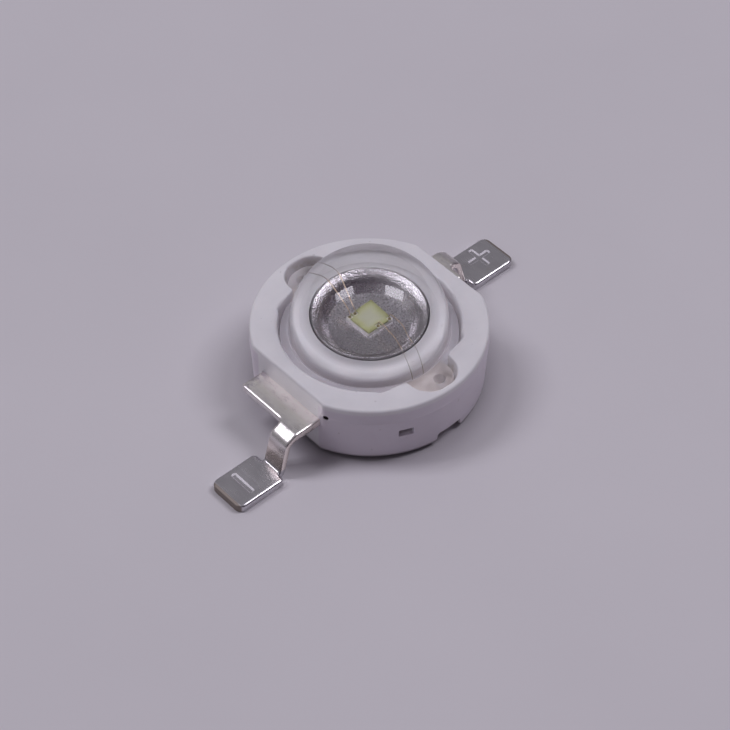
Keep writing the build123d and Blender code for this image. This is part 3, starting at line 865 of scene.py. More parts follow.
def cup_offset(r):
    w = float(np.clip((r - 0.45) / 0.38, 0.0, 1.0))
    w = w * w * (3 - 2 * w)
    return w * CUP_OFF[0], w * CUP_OFF[1]


def cup_line():
    """Wall of the cup from the lip down: flared at the mouth, steeper below."""
    slope = ([0.86, 1.07, 1.11, 1.15, 1.20, 1.24, 1.281], [38.0, 38.0, 34.0, 26.0, 18.0, 12.0, 8.0])
    r, z = 1.281, CUP_RIM - 0.0022
    out = [(r, z)]
    n = 36
    step = (r - 0.912) / n
    for k in range(n):
        z -= step * math.tan(math.radians(float(np.interp(r - step / 2, *slope))))
        r -= step
        out.append((r, z))
    return out


def seat_line():
    return [np.asarray(p) for p in rounded(SEAT, 7)]


def seat_circle(r):
    """Circle of the seat; the shoulder of the ring sits a little off the axis."""
    w = float(np.clip((r - 1.50) / 0.25, 0.0, 1.0) * np.clip((2.6 - r) / 0.4, 0.0, 1.0))
    w = w * w * (3 - 2 * w)
    v = float(np.clip((1.62 - r) / 0.24, 0.0, 1.0))
    f = 0.095 * np.clip(np.cos(PHI - math.radians(48.0)), 0.0, 1.0) ** 2      # fuller on its far side
    v = v * v * (3 - 2 * v)
    return np.stack([
        r * np.cos(PHI) + (f * 0.67 - 0.118) * w + CUP_OFF[0] * v,
        r * np.sin(PHI) + (f * 0.743 - 0.132) * w + CUP_OFF[1] * v], 1)


def make_housing():
    open_pt, open_n = by_angle(opening_loop(), PHI)
    rings = []

    def ring(xy, z):
        rings.append(np.column_stack([xy, np.full(NPHI, z)]))

    def circ(r):
        return np.stack([r * np.cos(PHI), r * np.sin(PHI)], 1)

    # underside, from the slug step outwards
    ring(circ(2.915), BODY_Z0 + 0.03)
    ring(circ(2.945), BODY_Z0)
    ring(outer_loop(BODY_RB - 0.05), BODY_Z0)
    for k in range(1, 5):
        g = math.pi / 2 * k / 4
        ring(outer_loop(BODY_RB - 0.05 + 0.05 * math.sin(g)), BODY_Z0 + 0.05 * (1 - math.cos(g)))
    # drafted lower wall up to the parting ridge
    z = BODY_Z0 + 0.05
    for k in range(1, 9):
        t = k / 8
        ring(outer_loop(BODY_RB + (BODY_R - 0.012 - BODY_RB) * t), z + (PARTING_Z - 0.012 - z) * t)
    ring(outer_loop(BODY_R - 0.002), PARTING_Z - 0.004)
    ring(outer_loop(BODY_R), PARTING_Z + 0.004)
    ring(outer_loop(BODY_R - 0.003), PARTING_Z + 0.014)
    ring(outer_loop(RIM_R + 0.006), PARTING_Z + 0.050)
    ring(outer_loop(RIM_R), PARTING_Z + 0.090)
    ring(outer_loop(RIM_R), BODY_Z1 - 0.30)
    # soft upper outer edge
    tr = 0.085
    for k in range(0, 9):
        g = math.pi / 2 * k / 8
        lp = outer_loop(RIM_R)
        s = 1 - tr * (1 - math.cos(g)) / np.hypot(lp[:, 0], lp[:, 1])
        ring(lp * s[:, None], BODY_Z1 - tr + tr * math.sin(g))
    # flat top, then the rounded edge of the opening
    er = np.clip((np.abs(open_pt[:, 0]) - 1.25) / 0.40, 0.0, 1.0)
    er = 0.058 + 0.070 * er * er * (3 - 2 * er)
    for k in range(0, 9):
        g = math.pi / 2 * k / 8
        rings.append(np.column_stack([open_pt + open_n * (er * (1 - math.sin(g)))[:, None], BODY_Z1 - er * (1 - math.cos(g))]))
    ring(open_pt, BODY_Z1 - 0.20)
    ring(open_pt, MOAT_Z + 0.06)
    ring(open_pt - open_n * 0.012, MOAT_Z + 0.018)
    ring(open_pt - open_n * 0.045, MOAT_Z)
    # moat, then the raised ring and the collar round the cup
    ring(circ(2.75), MOAT_Z)
    for p in seat_line():
        ring(seat_circle(p[0]), p[1])
    ring(circ(1.428), 2.122)
    ring(circ(1.428), 0.757)
    ring(circ(2.905), 0.757)
    verts, faces = skin(rings, closed=True)
    ob = new_object("housing_shell", verts, faces)
    bm = bmesh.new()
    bm.from_mesh(ob.data)
    bmesh.ops.recalc_face_normals(bm, faces=bm.faces)
    if bm.calc_volume(signed=True) < 0:
        bmesh.ops.reverse_faces(bm, faces=bm.faces)
    bm.to_mesh(ob.data)
    bm.free()

    # pockets down to the bonding pads
    for s in (1, -1):
        y0, y1 = POCKET_Y0, POCKET_Y1 - 0.015
        hx = POCKET_HX - 0.015
        out = closed_rounded(
            [(-hx, s * y0, 0.06), (hx, s * y0, 0.06), (hx, s * y1, POCKET_C), (-hx, s * y1, POCKET_C)], 10, 0.15)
        lv = [(0.02, LEAD_Z1 - 0.012), (0.005, LEAD_Z1 + 0.004), (0.0, LEAD_Z1 + 0.03), (0.0, MOAT_Z - 0.02), (-0.012, MOAT_Z + 0.004), (-0.012, MOAT_Z + 0.02)]
        cut(ob, prism("c", out, lv))

    # windows in the lower wall, pin marks and reliefs in the bottom edge
    def radial(angle, z):
        g = math.radians(angle)
        x = Vector((-math.sin(g), math.cos(g), 0))
        n = Vector((math.cos(g), math.sin(g), 0))
        up = Vector((0, 0, 1))
        m = Matrix((x, up, n)).transposed().to_4x4()
        m.translation = n * BODY_R + up * z
        return m

    for turn in (0, 180):
        w, h = 0.26, 0.155
        out = closed_rounded([(-w, -h, 0.05), (w, -h, 0.05), (w, h, 0.05), (-w, h, 0.05)], 5)
        cut(ob, prism("c", out, [(0.03, -0.40), (0.008, -0.10), (0.0, -0.055), (-0.025, -0.02), (-0.05, 0.2)], radial(-114.4 + turn, 1.235)))
        circle = [(0.078 * math.cos(t), 0.078 * math.sin(t)) for t in np.linspace(0, 2 * math.pi, 28, endpoint=False)]
        cut(ob, prism("c", circle, [(0.02, -0.40), (0.0, -0.09), (-0.02, -0.05), (-0.04, 0.25)], radial(-152.8 + turn, 1.87)))
        sg = 1 if turn == 0 else -1
        x0, x1 = (-0.50, 0.55) if sg == 1 else (-0.55, 0.50)
        out = closed_rounded([(x0 - 0.02, -0.3, 0), (x1 + 0.06, -0.3, 0), (x1 - 0.03, 0.505, 0.10), (x0 + 0.03, 0.505, 0.10)], 6)
        if sg == -1:
            out = closed_rounded([(x0 - 0.06, -0.3, 0), (x1 + 0.02, -0.3, 0), (x1 - 0.03, 0.505, 0.10), (x0 + 0.03, 0.505, 0.10)], 6)
        m = Matrix(((1, 0, 0), (0, 0, -sg), (0, 1, 0))).to_4x4()
        m.translation = Vector((0, 0, 0))
        lv = [(-0.004, 3.40), (0.0, 3.84), (-0.02, 3.90), (-0.06, 4.3)]
        if sg == -1:
            m = Matrix(((1, 0, 0), (0, 0, 1), (0, 1, 0))).to_4x4()
        cut(ob, prism("c", out, lv, m))
        # slot for the lead
        ring_out = lead_ring_outline(turn)
        cut(ob, prism("c", ring_out, [(-0.006, LEAD_Z1 - LEAD_T - 0.006), (-0.006, LEAD_Z1 + 0.0035)]))
    return ob


# ---------------------------------------------------------------------------
# Leads: a flat blank, rolled edges, then bent along its path
# ---------------------------------------------------------------------------
ZM = LEAD_Z1 - LEAD_T / 2
FOOT_X1 = a_hi[0]
FOOT_Y0 = 0.35
RING0, RING1, RA0, RA1 = 1.90, 3.40, -25.0, 115.0
G1, G2 = math.radians(27.0), math.radians(75.0)    # slopes after the first and second bend
R1, R2, R3 = 0.20, 0.25, 0.22                      # bend radii at mid-thickness
RUN = 0.20


class Strip:
    """One lead, drawn on the +X side: where its tab and neck lie, and how it is bent."""

    def __init__(self, tab_x1, tab_y0, tab_y1, neck_y0, neck_y1, bend_x, foot_y1):
        self.tab_x1, self.tab_y0, self.tab_y1 = tab_x1, tab_y0, tab_y1
        self.neck_y0, self.neck_y1, self.foot_y1 = neck_y0, neck_y1, foot_y1
        fall = R1 * (1 - math.cos(G1)) + RUN * math.sin(G1) + R2 * (math.cos(G1) - math.cos(G2)) + R3 * (1 - math.cos(G2))
        upright = (LEAD_Z1 - LEAD_T - fall) / math.sin(G2)
        self.runs = []          # (u0, u1, x0, z0, slope at u0, curvature)
        u, x, z = bend_x, bend_x, ZM
        for kind, size, g0, g1 in (("arc", R1, 0, G1), ("line", RUN, G1, G1), ("arc", R2, G1, G2), ("line", upright, G2, G2), ("arc", R3, G2, 0)):
            if kind == "line":
                self.runs.append((u, u + size, x, z, g0, 0.0))
                u, x, z = u + size, x + size * math.cos(g0), z - size * math.sin(g0)
            else:
                way = 1.0 if g1 > g0 else -1.0
                n = size * abs(g1 - g0)
                self.runs.append((u, u + n, x, z, g0, way / size))
                x += way * size * (math.sin(g1) - math.sin(g0))
                z -= way * size * (math.cos(g0) - math.cos(g1))
                u += n
        self.u0, self.u1, self.x1 = bend_x, u, x
        self.u_end = u + FOOT_X1 - x

    def bend(self, u, w):
        """(x, z) of a blank point at distance u and height w over mid-thickness."""
        # the neck is a little thinner than the sheet, on its inner side
        thin = min(1.0, max(0.0, (u - self.u0) / 0.25)) * min(1.0, max(0.0, (self.u1 - u) / 0.25))
        w = LEAD_T / 2 - (LEAD_T / 2 - w) * (1.0 - 0.26 * thin)
        if u <= self.u0:
            return u, ZM + w
        for a, b, x, z, g0, k in self.runs:
            if u <= b:
                t = u - a
                if k == 0.0:
                    g = g0
                    x, z = x + t * math.cos(g), z - t * math.sin(g)
                else:
                    g = g0 + k * t
                    x, z = x + (math.sin(g) - math.sin(g0)) / k, z - (math.cos(g0) - math.cos(g)) / k
                return x + w * math.sin(g), z + w * math.cos(g)
        return self.x1 + (u - self.u1), LEAD_T / 2 + w


CATHODE = Strip(4.50, -1.30, 1.58, 0.74, 1.58, 4.52, 1.85)
ANODE = Strip(4.36, 0.05, 1.50, 0.70, 1.50, 4.42, 1.89)


def arc_pts(r, a0, a1, step=3.0):
    n = max(2, int(abs(a1 - a0) / step) + 1)
    return [(r * math.cos(math.radians(a)), r * math.sin(math.radians(a)), 0) for a in np.linspace(a0, a1, n)]


def lead_ring_outline(turn):
    """The half ring and the start of the tab, as the slot cut in the plastic."""
    k = CATHODE if turn else ANODE
    pts = arc_pts(RING0, RA1, RA0)
    pts += arc_pts(RING1, RA0, math.degrees(math.asin(k.tab_y0 / RING1)))
    pts += [(4.2, k.tab_y0, 0), (4.2, k.tab_y1, 0)]
    pts += arc_pts(RING1, math.degrees(math.asin(k.tab_y1 / RING1)), RA1)
    out = closed_rounded(pts, 1)
    if turn:
        out = [-np.asarray(p) for p in out]
    return [np.asarray(p) for p in out]


def lead_outline(k):
    pts = arc_pts(RING0, RA1, RA0)
    pts[0] = pts[0][:2] + (0.14,)
    pts[-1] = pts[-1][:2] + (0.14,)
    outer = arc_pts(RING1, RA0, math.degrees(math.asin(k.tab_y0 / RING1)), 1.5)
    outer[0] = outer[0][:2] + (0.14,)
    pts += outer
    v = k.u1 + 0.01
    pts += [
        (k.tab_x1, k.tab_y0, 0.14),
        (k.tab_x1, k.neck_y0, 0.17),
        (v, k.neck_y0, 0.05),
        (v, FOOT_Y0, 0.24),
        (k.u_end, FOOT_Y0, 0.28),
        (k.u_end, k.foot_y1, 0.28),
        (v, k.foot_y1, 0.24),
        (v, k.tab_y1, 0.03),
    ]
    outer = arc_pts(RING1, math.degrees(math.asin(k.tab_y1 / RING1)), RA1)
    outer[-1] = outer[-1][:2] + (0.14,)
    pts += outer
    return [np.asarray(p) for p in closed_rounded(pts, 7)]


def mark_outline(strip, sign):
    """The stamped polarity mark on the flat blank."""
    du = strip.u1 - strip.x1
    if sign > 0:
        cx, cy, hl, hw = 6.36 + du, 1.25, 0.47, 0.088
        out = []
        for q in range(4):
            g = q * math.pi / 2
            c, s = math.cos(g), math.sin(g)
            for px, py, rr in ((hw, hw, 0.03), (hl, hw, 0.05), (hl, -hw, 0.05)):
                out.append((cx + px * c + py * s, cy - px * s + py * c, rr))
    else:
        cx, cy, hl, hw = 6.48 + du, 1.07, 0.49, 0.088
        out = [(cx - hw, cy - hl, 0.05), (cx + hw, cy - hl, 0.05), (cx + hw, cy + hl, 0.05), (cx - hw, cy + hl, 0.05)]
    return ccw(closed_rounded(out, 5))


def make_lead(name, sign):
    strip = ANODE if sign > 0 else CATHODE
    path = ccw(lead_outline(strip))
    h = LEAD_T / 2
    lv = []
    for k in range(0, 5):       # lower edge
        g = math.pi / 2 * k / 4
        lv.append((0.05 * (1 - math.sin(g)), -h + 0.05 * (1 - math.cos(g))))
    for k in range(0, 9):       # upper edge, rolled over by the blanking die
        g = math.pi / 2 * k / 8
        lv.append((0.115 * (1 - math.cos(g)), h - 0.070 + 0.070 * math.sin(g)))
    verts, faces = skin([at_z(offset_loop(path, ins), z) for ins, z in lv])
    faces.append(tuple(range(len(path)))[::-1])
    # sloping walls and floor of the mark
    mark = mark_outline(strip, sign)
    lv = [(-0.022, 0.0), (-0.012, -0.0030), (0.000, -0.0090), (0.010, -0.0150), (0.032, -0.0290), (0.042, -0.0320)]
    mv, mf = skin([at_z(offset_loop(mark, ins), h + z) for ins, z in lv])
    base = len(verts)
    verts += mv
    faces += [tuple(base + i for i in f) for f in mf]
    faces.append(tuple(base + len(mv) - len(mark) + k for k in range(len(mark))))
    bm = bmesh.new()
    vs = [bm.verts.new(v) for v in verts]
    for f in faces:
        bm.faces.new([vs[i] for i in f])
    bmesh.ops.triangle_fill(bm, use_beauty=True, edges=[e for e in bm.edges if e.is_boundary])
    big = [f for f in bm.faces if len(f.verts) > 4]
    bmesh.ops.triangulate(bm, faces=big, quad_method="BEAUTY", ngon_method="EAR_CLIP")
    cuts = []
    for u0, u1, x0, z0, g0, k in strip.runs:
        n = 12 if k else 4
        cuts += [u0 + (u1 - u0) * q / n for q in range(n)]
    cuts.append(strip.u1)
    for u in cuts:
        bmesh.ops.bisect_plane(
            bm, geom=bm.verts[:] + bm.edges[:] + bm.faces[:], dist=1e-6,
            plane_co=(u, 0, 0), plane_no=(1, 0, 0))
    for v in bm.verts:
        x, z = strip.bend(v.co.x, v.co.z)
        v.co.x, v.co.z = x, z
        v.co = v.co * MM
        if sign < 0:
            v.co.x, v.co.y = -v.co.x, -v.co.y
    bmesh.ops.recalc_face_normals(bm, faces=bm.faces)
    me = bpy.data.meshes.new(name)
    bm.to_mesh(me)
    bm.free()
    ob = bpy.data.objects.new(name, me)
    scene.collection.objects.link(ob)
    return ob


# ---------------------------------------------------------------------------
# Lens and gel
# ---------------------------------------------------------------------------
def lens_loop():
    d = np.linspace(0, 2 * math.pi, 7200, endpoint=False)
    r = np.maximum(FLANGE_R, rect_radius(d, 0.80, l_hi[1], 0.70))
    r = np.minimum(r, opening_radius(d) - 0.045)
    return smooth_loop(np.stack([r * np.cos(d), r * np.sin(d)], 1), 0.03)


HOLLOW_R, HOLLOW_Z, HOLLOW_FOOT = 2.60, 3.60, 1.90
HOLLOW_CR = (HOLLOW_R ** 2 + (HOLLOW_Z - HOLLOW_FOOT) ** 2) / (2 * (HOLLOW_Z - HOLLOW_FOOT))
GAP = 0.004


def make_lens():
    pt, nn = by_angle(lens_loop(), PHI)
    rings = []

    def ring(xy, z):
        rings.append(np.column_stack([xy, np.full(NPHI, z)]))

    def circ(r):
        return np.stack([r * np.cos(PHI), r * np.sin(PHI)], 1)

    # hollow, from its crown to its foot
    rings.append(np.array([[0, 0, HOLLOW_Z]]))
    amax = math.asin(HOLLOW_R / HOLLOW_CR)
    for k in range(1, 25):
        g = amax * k / 24
        ring(circ(HOLLOW_CR * math.sin(g)), HOLLOW_Z - HOLLOW_CR + HOLLOW_CR * math.cos(g))
    ring(circ(HOLLOW_R), MOAT_Z + GAP)
    er = 0.03
    for k in range(0, 5):
        g = math.pi / 2 * k / 4
        ring(pt - nn * er * (1 - math.sin(g)), MOAT_Z + GAP + er * (1 - math.cos(g)))
    tr = 0.05
    for k in range(0, 6):
        g = math.pi / 2 * k / 5
        ring(pt - nn * tr * (1 - math.cos(g)), FLANGE_Z1 - tr + tr * math.sin(g))
    # small fillet where the dome stands on the flange
    fr = 0.06
    cz = FLANGE_Z1 + fr
    cr = math.sqrt((DOME_R + fr) ** 2 - (cz - DOME_CZ) ** 2)
    ring(circ(cr + 0.03), FLANGE_Z1)
    ga = math.atan2(cz - DOME_CZ, cr)
    for k in range(0, 6):
        g = -math.pi / 2 - (math.pi / 2 + ga) * k / 5
        ring(circ(cr + fr * math.cos(g)), cz + fr * math.sin(g))
    n = 72
    for k in range(1, n):
        g = ga + (math.pi / 2 - ga) * k / n
        ring(circ(DOME_R * math.cos(g)), DOME_CZ + DOME_R * math.sin(g))
    rings.append(np.array([[0, 0, DOME_TOP]]))
    verts, faces = skin(rings)
    ob = new_object("lens_dome", verts, faces)
    bm = bmesh.new()
    bm.from_mesh(ob.data)
    bmesh.ops.recalc_face_normals(bm, faces=bm.faces)
    if bm.calc_volume(signed=True) < 0:
        bmesh.ops.reverse_faces(bm, faces=bm.faces)
    bm.to_mesh(ob.data)
    bm.free()
    for sx, sy in ((0.18, -3.20), (-0.18, 3.20)):
        hole = [(sx + 0.19 * math.cos(t), sy + 0.19 * math.sin(t)) for t in np.linspace(0, 2 * math.pi, 48, endpoint=False)]
        cut(ob, prism("c", hole, [(0.0, MOAT_Z - 0.2), (0.0, FLANGE_Z1 - 0.02), (-0.02, FLANGE_Z1 + 0.001), (-0.02, FLANGE_Z1 + 0.2)]))
    # faces that lie against the gel or the ledge are open, the rest is glass
    idx = []
    for f in ob.data.polygons:
        c = f.center / MM
        rr = math.hypot(c.x, c.y)
        inner = (f.normal.z < -0.05 or c.z < HOLLOW_FOOT + 0.02) and (c.z < 3.65) and rr < 2.62
        under = f.normal.z < -0.3 and c.z < MOAT_Z + 0.05
        idx.append(1 if (inner or under) else 0)
    ob.data.polygons.foreach_set("material_index", idx)
    return ob


def make_gel():
    rings = []
    amax = math.asin(HOLLOW_R / HOLLOW_CR)
    r0 = HOLLOW_CR - 0.006
    rings.append(np.array([[0, 0, HOLLOW_Z - 0.006]]))
    for k in range(1, 17):
        g = amax * k / 16
        xy = np.stack([r0 * math.sin(g) * np.cos(PHI), r0 * math.sin(g) * np.sin(PHI)], 1)
        rings.append(np.column_stack([xy, np.full(NPHI, HOLLOW_Z - HOLLOW_CR + r0 * math.cos(g))]))
    zb = MOAT_Z + 0.002

    def circ(r, z):
        rings.append(np.column_stack([r * np.cos(PHI), r * np.sin(PHI), np.full(NPHI, z)]))

    circ(2.594, zb + 0.03)
    circ(2.56, zb)
    seat = np.array(seat_line())[1:-1]
    t = np.gradient(seat, axis=0)
    t /= np.linalg.norm(t, axis=1)[:, None]
    seat = seat + np.stack([t[:, 1], -t[:, 0]], 1) * 0.006
    for r, z in seat:
        rings.append(np.column_stack([seat_circle(r), np.full(NPHI, max(z, zb))]))
    for r, z in ((1.337, CUP_RIM - 0.05), (1.336, CUP_RIM - 0.01), (1.315, CUP_RIM + 0.006)):
        rings.append(np.column_stack([seat_circle(r), np.full(NPHI, z)]))
    for r, z in cup_line()[::3] + [(0.875, 2.172), (0.72, 2.172)]:
        dx, dy = cup_offset(r)
        rings.append(np.column_stack([r * np.cos(PHI) + dx, r * np.sin(PHI) + dy, np.full(NPHI, z + 0.006)]))
    rings.append(np.array([[0, 0, 2.172]]))
    verts, faces = skin(rings)
    return new_object("silicone_gel", verts, faces)


# ---------------------------------------------------------------------------
# Slug with the reflector cup
# ---------------------------------------------------------------------------
def make_slug():
    floor_z = t_lo[2]
    prof = rounded([(0, 0), (2.90, 0, 0.05), (2.90, 0.75, 0.02), (1.42, 0.75, 0.0), (1.42, 2.085, 0.01), (1.33, 2.10, 0.01), (1.33, 2.112), (1.33, 2.138), (1.33, 2.30)], 8)
    prof = [tuple(p) for p in prof]
    # rolled lip
    prof += [(r, CUP_RIM - d) for r, d in ((1.3300, 0.040), (1.3290, 0.028), (1.3255, 0.0175), (1.3190, 0.0090), (1.3100, 0.0035), (1.2980, 0.0), (1.2890, 0.0006))]
    prof += cup_line()
    r, z = prof[-1]
    foot = rounded([prof[-2], (r - (z - floor_z) / math.tan(math.radians(38.0)), floor_z), (0.5, floor_z)], 4)
    prof = prof[:-1] + [tuple(p) for p in foot[1:-1]] + [(0.5, floor_z), (0.25, floor_z), (0.0, floor_z)]
    ob = turned("slug_cup", prof, 256)
    for v in ob.data.vertices:
        z = v.co.z / MM
        if z > 2.11:
            dx, dy = cup_offset(math.hypot(v.co.x, v.co.y) / MM)
            w = min(1.0, (z - 2.11) / 0.027)
            v.co.x += dx * w * MM
            v.co.y += dy * w * MM
    ob.data.update()
    return ob


# ---------------------------------------------------------------------------
# Chip stack and wires
# ---------------------------------------------------------------------------
def slab(name, cx, cy, half, z0, z1, corner, edge, flare=0.0):
    out = closed_rounded([(cx - half, cy - half, corner), (cx + half, cy - half, corner), (cx + half, cy + half, corner), (cx - half, cy + half, corner)], 5, 0.08)
    path = ccw(out)
    lv = [(-flare, z0)]
    for k in range(0, 5):
        g = math.pi / 2 * k / 4
        lv.append((edge * (1 - math.cos(g)), z1 - edge + edge * math.sin(g)))
    rings = [at_z(offset_loop(path, ins), z) for ins, z in lv]
    verts, faces = skin(rings)
    n = len(path)
    faces.append(tuple(range(n))[::-1])
    faces.append(tuple(len(verts) - n + k for k in range(n)))
    return new_object(name, verts, faces)


def catmull(points, n):
    p = np.array(points, float)
    p = np.vstack([2 * p[0] - p[1], p, 2 * p[-1] - p[-2]])
    out = []
    for i in range(1, len(p) - 2):
        p0, p1, p2, p3 = p[i - 1], p[i], p[i + 1], p[i + 2]
        for k in range(n):
            t = k / n
            out.append(0.5 * ((2 * p1) + (-p0 + p2) * t + (2 * p0 - 5 * p1 + 4 * p2 - p3) * t * t + (-p0 + 3 * p1 - 3 * p2 + p3) * t ** 3))
    out.append(p[-2])
    return np.array(out)


def tube(name, path, radii, sides=14):
    path = np.asarray(path, float)
    t = np.gradient(path, axis=0)
    t /= np.linalg.norm(t, axis=1)[:, None]
    u = np.cross(t[0], [0.0, 1.0, 0.0])
    if np.linalg.norm(u) < 0.1:
        u = np.cross(t[0], [1.0, 0.0, 0.0])
    u = unit(u)
    rings = [path[:1]]
    for i in range(len(path)):
        u = unit(u - t[i] * (u @ t[i]))
        v = np.cross(t[i], u)
        g = np.linspace(0, 2 * math.pi, sides, endpoint=False)
        rings.append(path[i] + radii[i] * (np.cos(g)[:, None] * u + np.sin(g)[:, None] * v))
    rings.append(path[-1:])
    verts, faces = skin(rings)
    return new_object(name, verts, faces)


# chip end, points along the loop, pad end
WIRES = {
    "bond_wire_1": ((0.16, -0.11), ((0.15, -0.22, 2.46), (0.09, -0.59, 2.50), (0.05, -0.87, 2.505), (-0.06, -1.28, 2.50), (-0.17, -1.62, 2.465), (-0.28, -2.00, 2.37), (-0.35, -2.28, 2.20), (-0.375, -2.42, 1.98)), (-0.38, -2.46)),
    "bond_wire_2": ((0.48, -0.11), ((0.48, -0.22, 2.45), (0.45, -0.65, 2.495), (0.33, -1.04, 2.505), (0.25, -1.53, 2.49), (0.17, -1.86, 2.42), (0.09, -2.20, 2.27), (0.05, -2.40, 2.06)), (0.04, -2.48)),
    "bond_wire_3": ((0.03, 0.49), ((0.05, 0.60, 2.45), (0.22, 0.98, 2.50), (0.37, 1.34, 2.505), (0.34, 1.62, 2.47), (0.22, 1.95, 2.38), (0.11, 2.28, 2.20), (0.07, 2.44, 1.98)), (0.06, 2.48)),
    "bond_wire_4": ((-0.12, 0.49), ((-0.10, 0.60, 2.45), (0.00, 0.98, 2.49), (0.09, 1.40, 2.50), (0.02, 1.68, 2.46), (-0.09, 1.98, 2.37), (-0.20, 2.28, 2.18), (-0.235, 2.42, 1.98)), (-0.24, 2.46)),
}
WIRE_R = 0.0098
DIE_TOP = d_hi[2]


def make_wire(name):
    (sx, sy), loop, (ex, ey) = WIRES[name]
    s = np.array([sx, sy])
    ctrl = [(sx, sy, DIE_TOP), (sx, sy, DIE_TOP + 0.10)] + list(loop) + [(ex, ey, LEAD_Z1 + 0.12), (ex, ey, LEAD_Z1)]
    path = catmull(ctrl, 9)
    # ball on the chip, wedge on the pad: rings close to each end
    head = [(0.0, 0.030), (0.004, 0.037), (0.010, 0.040), (0.017, 0.036), (0.023, 0.024), (0.030, 0.0120), (0.045, WIRE_R)]
    tail = [(0.035, WIRE_R), (0.022, 0.018), (0.013, 0.030), (0.007, 0.041), (0.0, 0.045)]
    path = [p for p in path if p[2] > DIE_TOP + 0.05 or math.hypot(p[0] - sx, p[1] - sy) > 0.3]
    path = [p for p in path if not (p[2] < LEAD_Z1 + 0.045)]
    pts = [[sx, sy, DIE_TOP + h] for h, _ in head] + [list(p) for p in path] + [[ex, ey, LEAD_Z1 + h] for h, _ in tail]
    rad = [r for _, r in head] + [WIRE_R] * len(path) + [r for _, r in tail]
    return tube(name + "_gold", np.array(pts), rad)


# ---------------------------------------------------------------------------
# Build the pieces
# ---------------------------------------------------------------------------
housing = tidy(make_housing(), angle=38)
dress(housing, "housing", MAT_PLASTIC)

near = tidy(make_lead("cathode_strip", -1), angle=38)
dress(near, "cathode_lead", MAT_LEAD)
far = tidy(make_lead("anode_strip", 1), angle=38)
dress(far, "anode_lead", MAT_LEAD)

slug = tidy(make_slug(), angle=25)
dress(slug, "heat_slug", MAT_CUP)

cx, cy = (d_lo[0] + d_hi[0]) / 2, (d_lo[1] + d_hi[1]) / 2
half = (d_hi[0] - d_lo[0]) / 2
attach = tidy(slab("epoxy_bed", cx, cy, (t_hi[0] - t_lo[0]) / 2 - 0.004, t_lo[2], t_hi[2], 0.05, 0.005))
dress(attach, "die_attach", MAT_EPOXY)
die = tidy(slab("chip_block", cx, cy, half, d_lo[2], d_hi[2], 0.012, 0.006))
dress(die, "led_die", MAT_DIE)


def make_phosphor():
    ob = slab("phosphor_coat", cx, cy, half - 0.004, p_lo[2], p_hi[2], 0.03, 0.018)
    bm = bmesh.new()
    bm.from_mesh(ob.data)
    bmesh.ops.recalc_face_normals(bm, faces=bm.faces)
    bm.to_mesh(ob.data)
    bm.free()
    for s, loop, e in WIRES.values():
        q = 0.058
        out = closed_rounded([(s[0] - q, s[1] - q, 0.02), (s[0] + q, s[1] - q, 0.02), (s[0] + q, s[1] + q, 0.02), (s[0] - q, s[1] + q, 0.02)], 4)
        cut(ob, prism("c", out, [(0.0, p_lo[2] - 0.02), (0.0, p_hi[2] - 0.01), (-0.01, p_hi[2] + 0.02)]))
    return ob


phosphor = tidy(make_phosphor())
dress(phosphor, "phosphor_layer", phosphor_material(cx, cy, half))

for wire_name in WIRES:
    dress(tidy(make_wire(wire_name), angle=60), wire_name, MAT_GOLD)

gel = tidy(make_gel(), angle=40)
dress(gel, "silicone_encapsulant", MAT_GEL)

lens = tidy(make_lens(), angle=40)
dress(lens, "lens", [MAT_CLEAR, MAT_OPEN])

# ---------------------------------------------------------------------------
# Floor, light and camera
# ---------------------------------------------------------------------------
bpy.ops.mesh.primitive_grid_add(x_subdivisions=8, y_subdivisions=8, size=3.0)
floor = bpy.context.object
floor.name = "floor"
floor.location = (0, 0, 0)
floor.data.materials.append(floor_material())

world = bpy.data.worlds.new("studio")
scene.world = world
world.use_nodes = True
wt = world.node_tree
wt.nodes.clear()
w_out = wt.nodes.new("ShaderNodeOutputWorld")
w_bg = wt.nodes.new("ShaderNodeBackground")
w_bg.inputs["Strength"].default_value = 1.0
# pale beyond the object and overhead, dark from the side the object is seen from
w_co = wt.nodes.new("ShaderNodeTexCoord")
w_dot = wt.nodes.new("ShaderNodeVectorMath")
w_dot.operation = "DOT_PRODUCT"
w_dot.inputs[1].default_value = (-0.10, 0.78, 0.62)
wt.links.new(w_co.outputs["Generated"], w_dot.inputs[0])
w_map = wt.nodes.new("ShaderNodeMapRange")
w_map.inputs["From Min"].default_value = -1.0
w_map.inputs["From Max"].default_value = 1.0
wt.links.new(w_dot.outputs["Value"], w_map.inputs["Value"])
w_ramp = wt.nodes.new("ShaderNodeValToRGB")
stops = [(0.25, (0.034, 0.024, 0.036)), (0.45, (0.060, 0.047, 0.063)), (0.575, (0.120, 0.107, 0.126)), (0.70, (0.200, 0.188, 0.208)), (0.875, (0.250, 0.240, 0.260))]
while len(w_ramp.color_ramp.elements) < len(stops):
    w_ramp.color_ramp.elements.new(0.5)
for e, (pos, col) in zip(w_ramp.color_ramp.elements, stops):
    e.position = pos
    e.color = col + (1.0,)
wt.links.new(w_map.outputs["Result"], w_ramp.inputs["Fac"])
wt.links.new(w_ramp.outputs["Color"], w_bg.inputs["Color"])
wt.links.new(w_bg.outputs["Background"], w_out.inputs["Surface"])


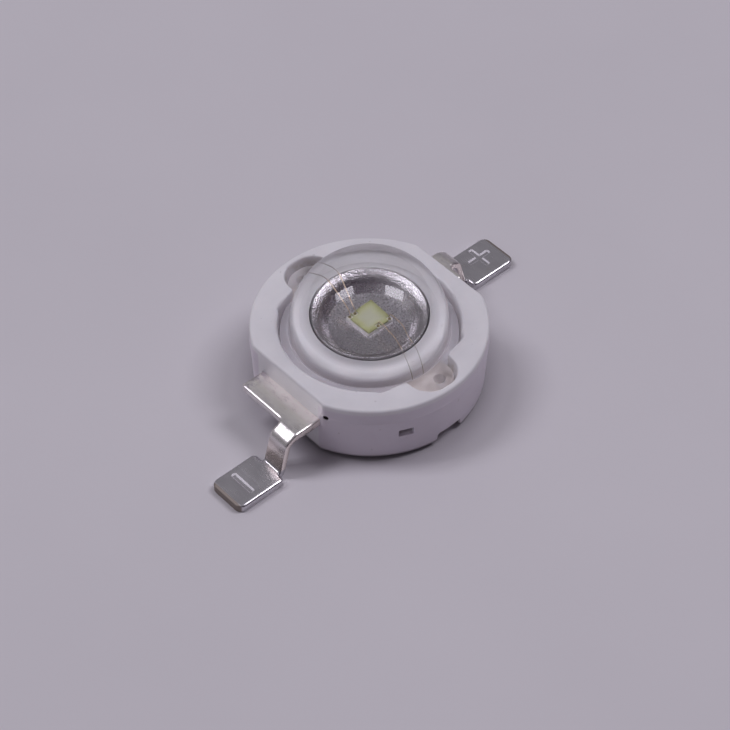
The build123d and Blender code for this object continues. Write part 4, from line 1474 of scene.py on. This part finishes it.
def softbox(name, direction, long_axis, long_size, short_size, radiance, distance=0.5, colour=(1.0, 0.965, 1.06)):
    d = Vector(direction).normalized()
    x = Vector(long_axis)
    x = (x - d * x.dot(d)).normalized()
    y = d.cross(x)
    light = bpy.data.lights.new(name, "AREA")
    light.shape = "RECTANGLE"
    light.size = long_size * distance
    light.size_y = short_size * distance
    light.energy = radiance * math.pi * light.size * light.size_y
    light.color = colour
    ob = bpy.data.objects.new(name, light)
    scene.collection.objects.link(ob)
    ob.matrix_world = Matrix((x, y, d)).transposed().to_4x4()
    ob.location = d * distance
    return ob


softbox("box_left", (-0.3165, 0.4379, 0.8415), (0.316, -0.184, 0.214), 0.43, 0.24, 7.6)
softbox("box_right", (0.4774, -0.2446, 0.8439), (0.259, -0.264, -0.223), 0.43, 0.26, 7.6)

AZ, EL, ROLL = math.radians(-42.136), math.radians(47.69), math.radians(0.142)
back = Vector((math.sin(AZ) * math.cos(EL), -math.cos(AZ) * math.cos(EL), math.sin(EL)))
right = Vector((math.cos(AZ), math.sin(AZ), 0))
up = back.cross(right)
cam_x = right * math.cos(ROLL) + up * math.sin(ROLL)
cam_y = -right * math.sin(ROLL) + up * math.cos(ROLL)
place = (cam_x * -0.146 + cam_y * -0.785 + Vector((0, 0, 1.5)) + back * 76.85) * MM
cam = bpy.data.cameras.new("view")
cam.sensor_width = 36.0
cam.lens = 2297.5 / 730.0 * 36.0
cam.clip_start = 0.001
cam.clip_end = 50.0
cam_ob = bpy.data.objects.new("view", cam)
scene.collection.objects.link(cam_ob)
cam_ob.matrix_world = Matrix((cam_x, cam_y, back)).transposed().to_4x4()
cam_ob.location = place
scene.camera = cam_ob

scene.view_settings.view_transform = "Standard"
scene.view_settings.look = "None"
scene.view_settings.exposure = 0.0
scene.view_settings.gamma = 1.0
scene.cycles.max_bounces = 16
scene.cycles.transmission_bounces = 16
scene.cycles.transparent_max_bounces = 32
scene.cycles.glossy_bounces = 8
scene.cycles.diffuse_bounces = 5
scene.cycles.blur_glossy = 0.2
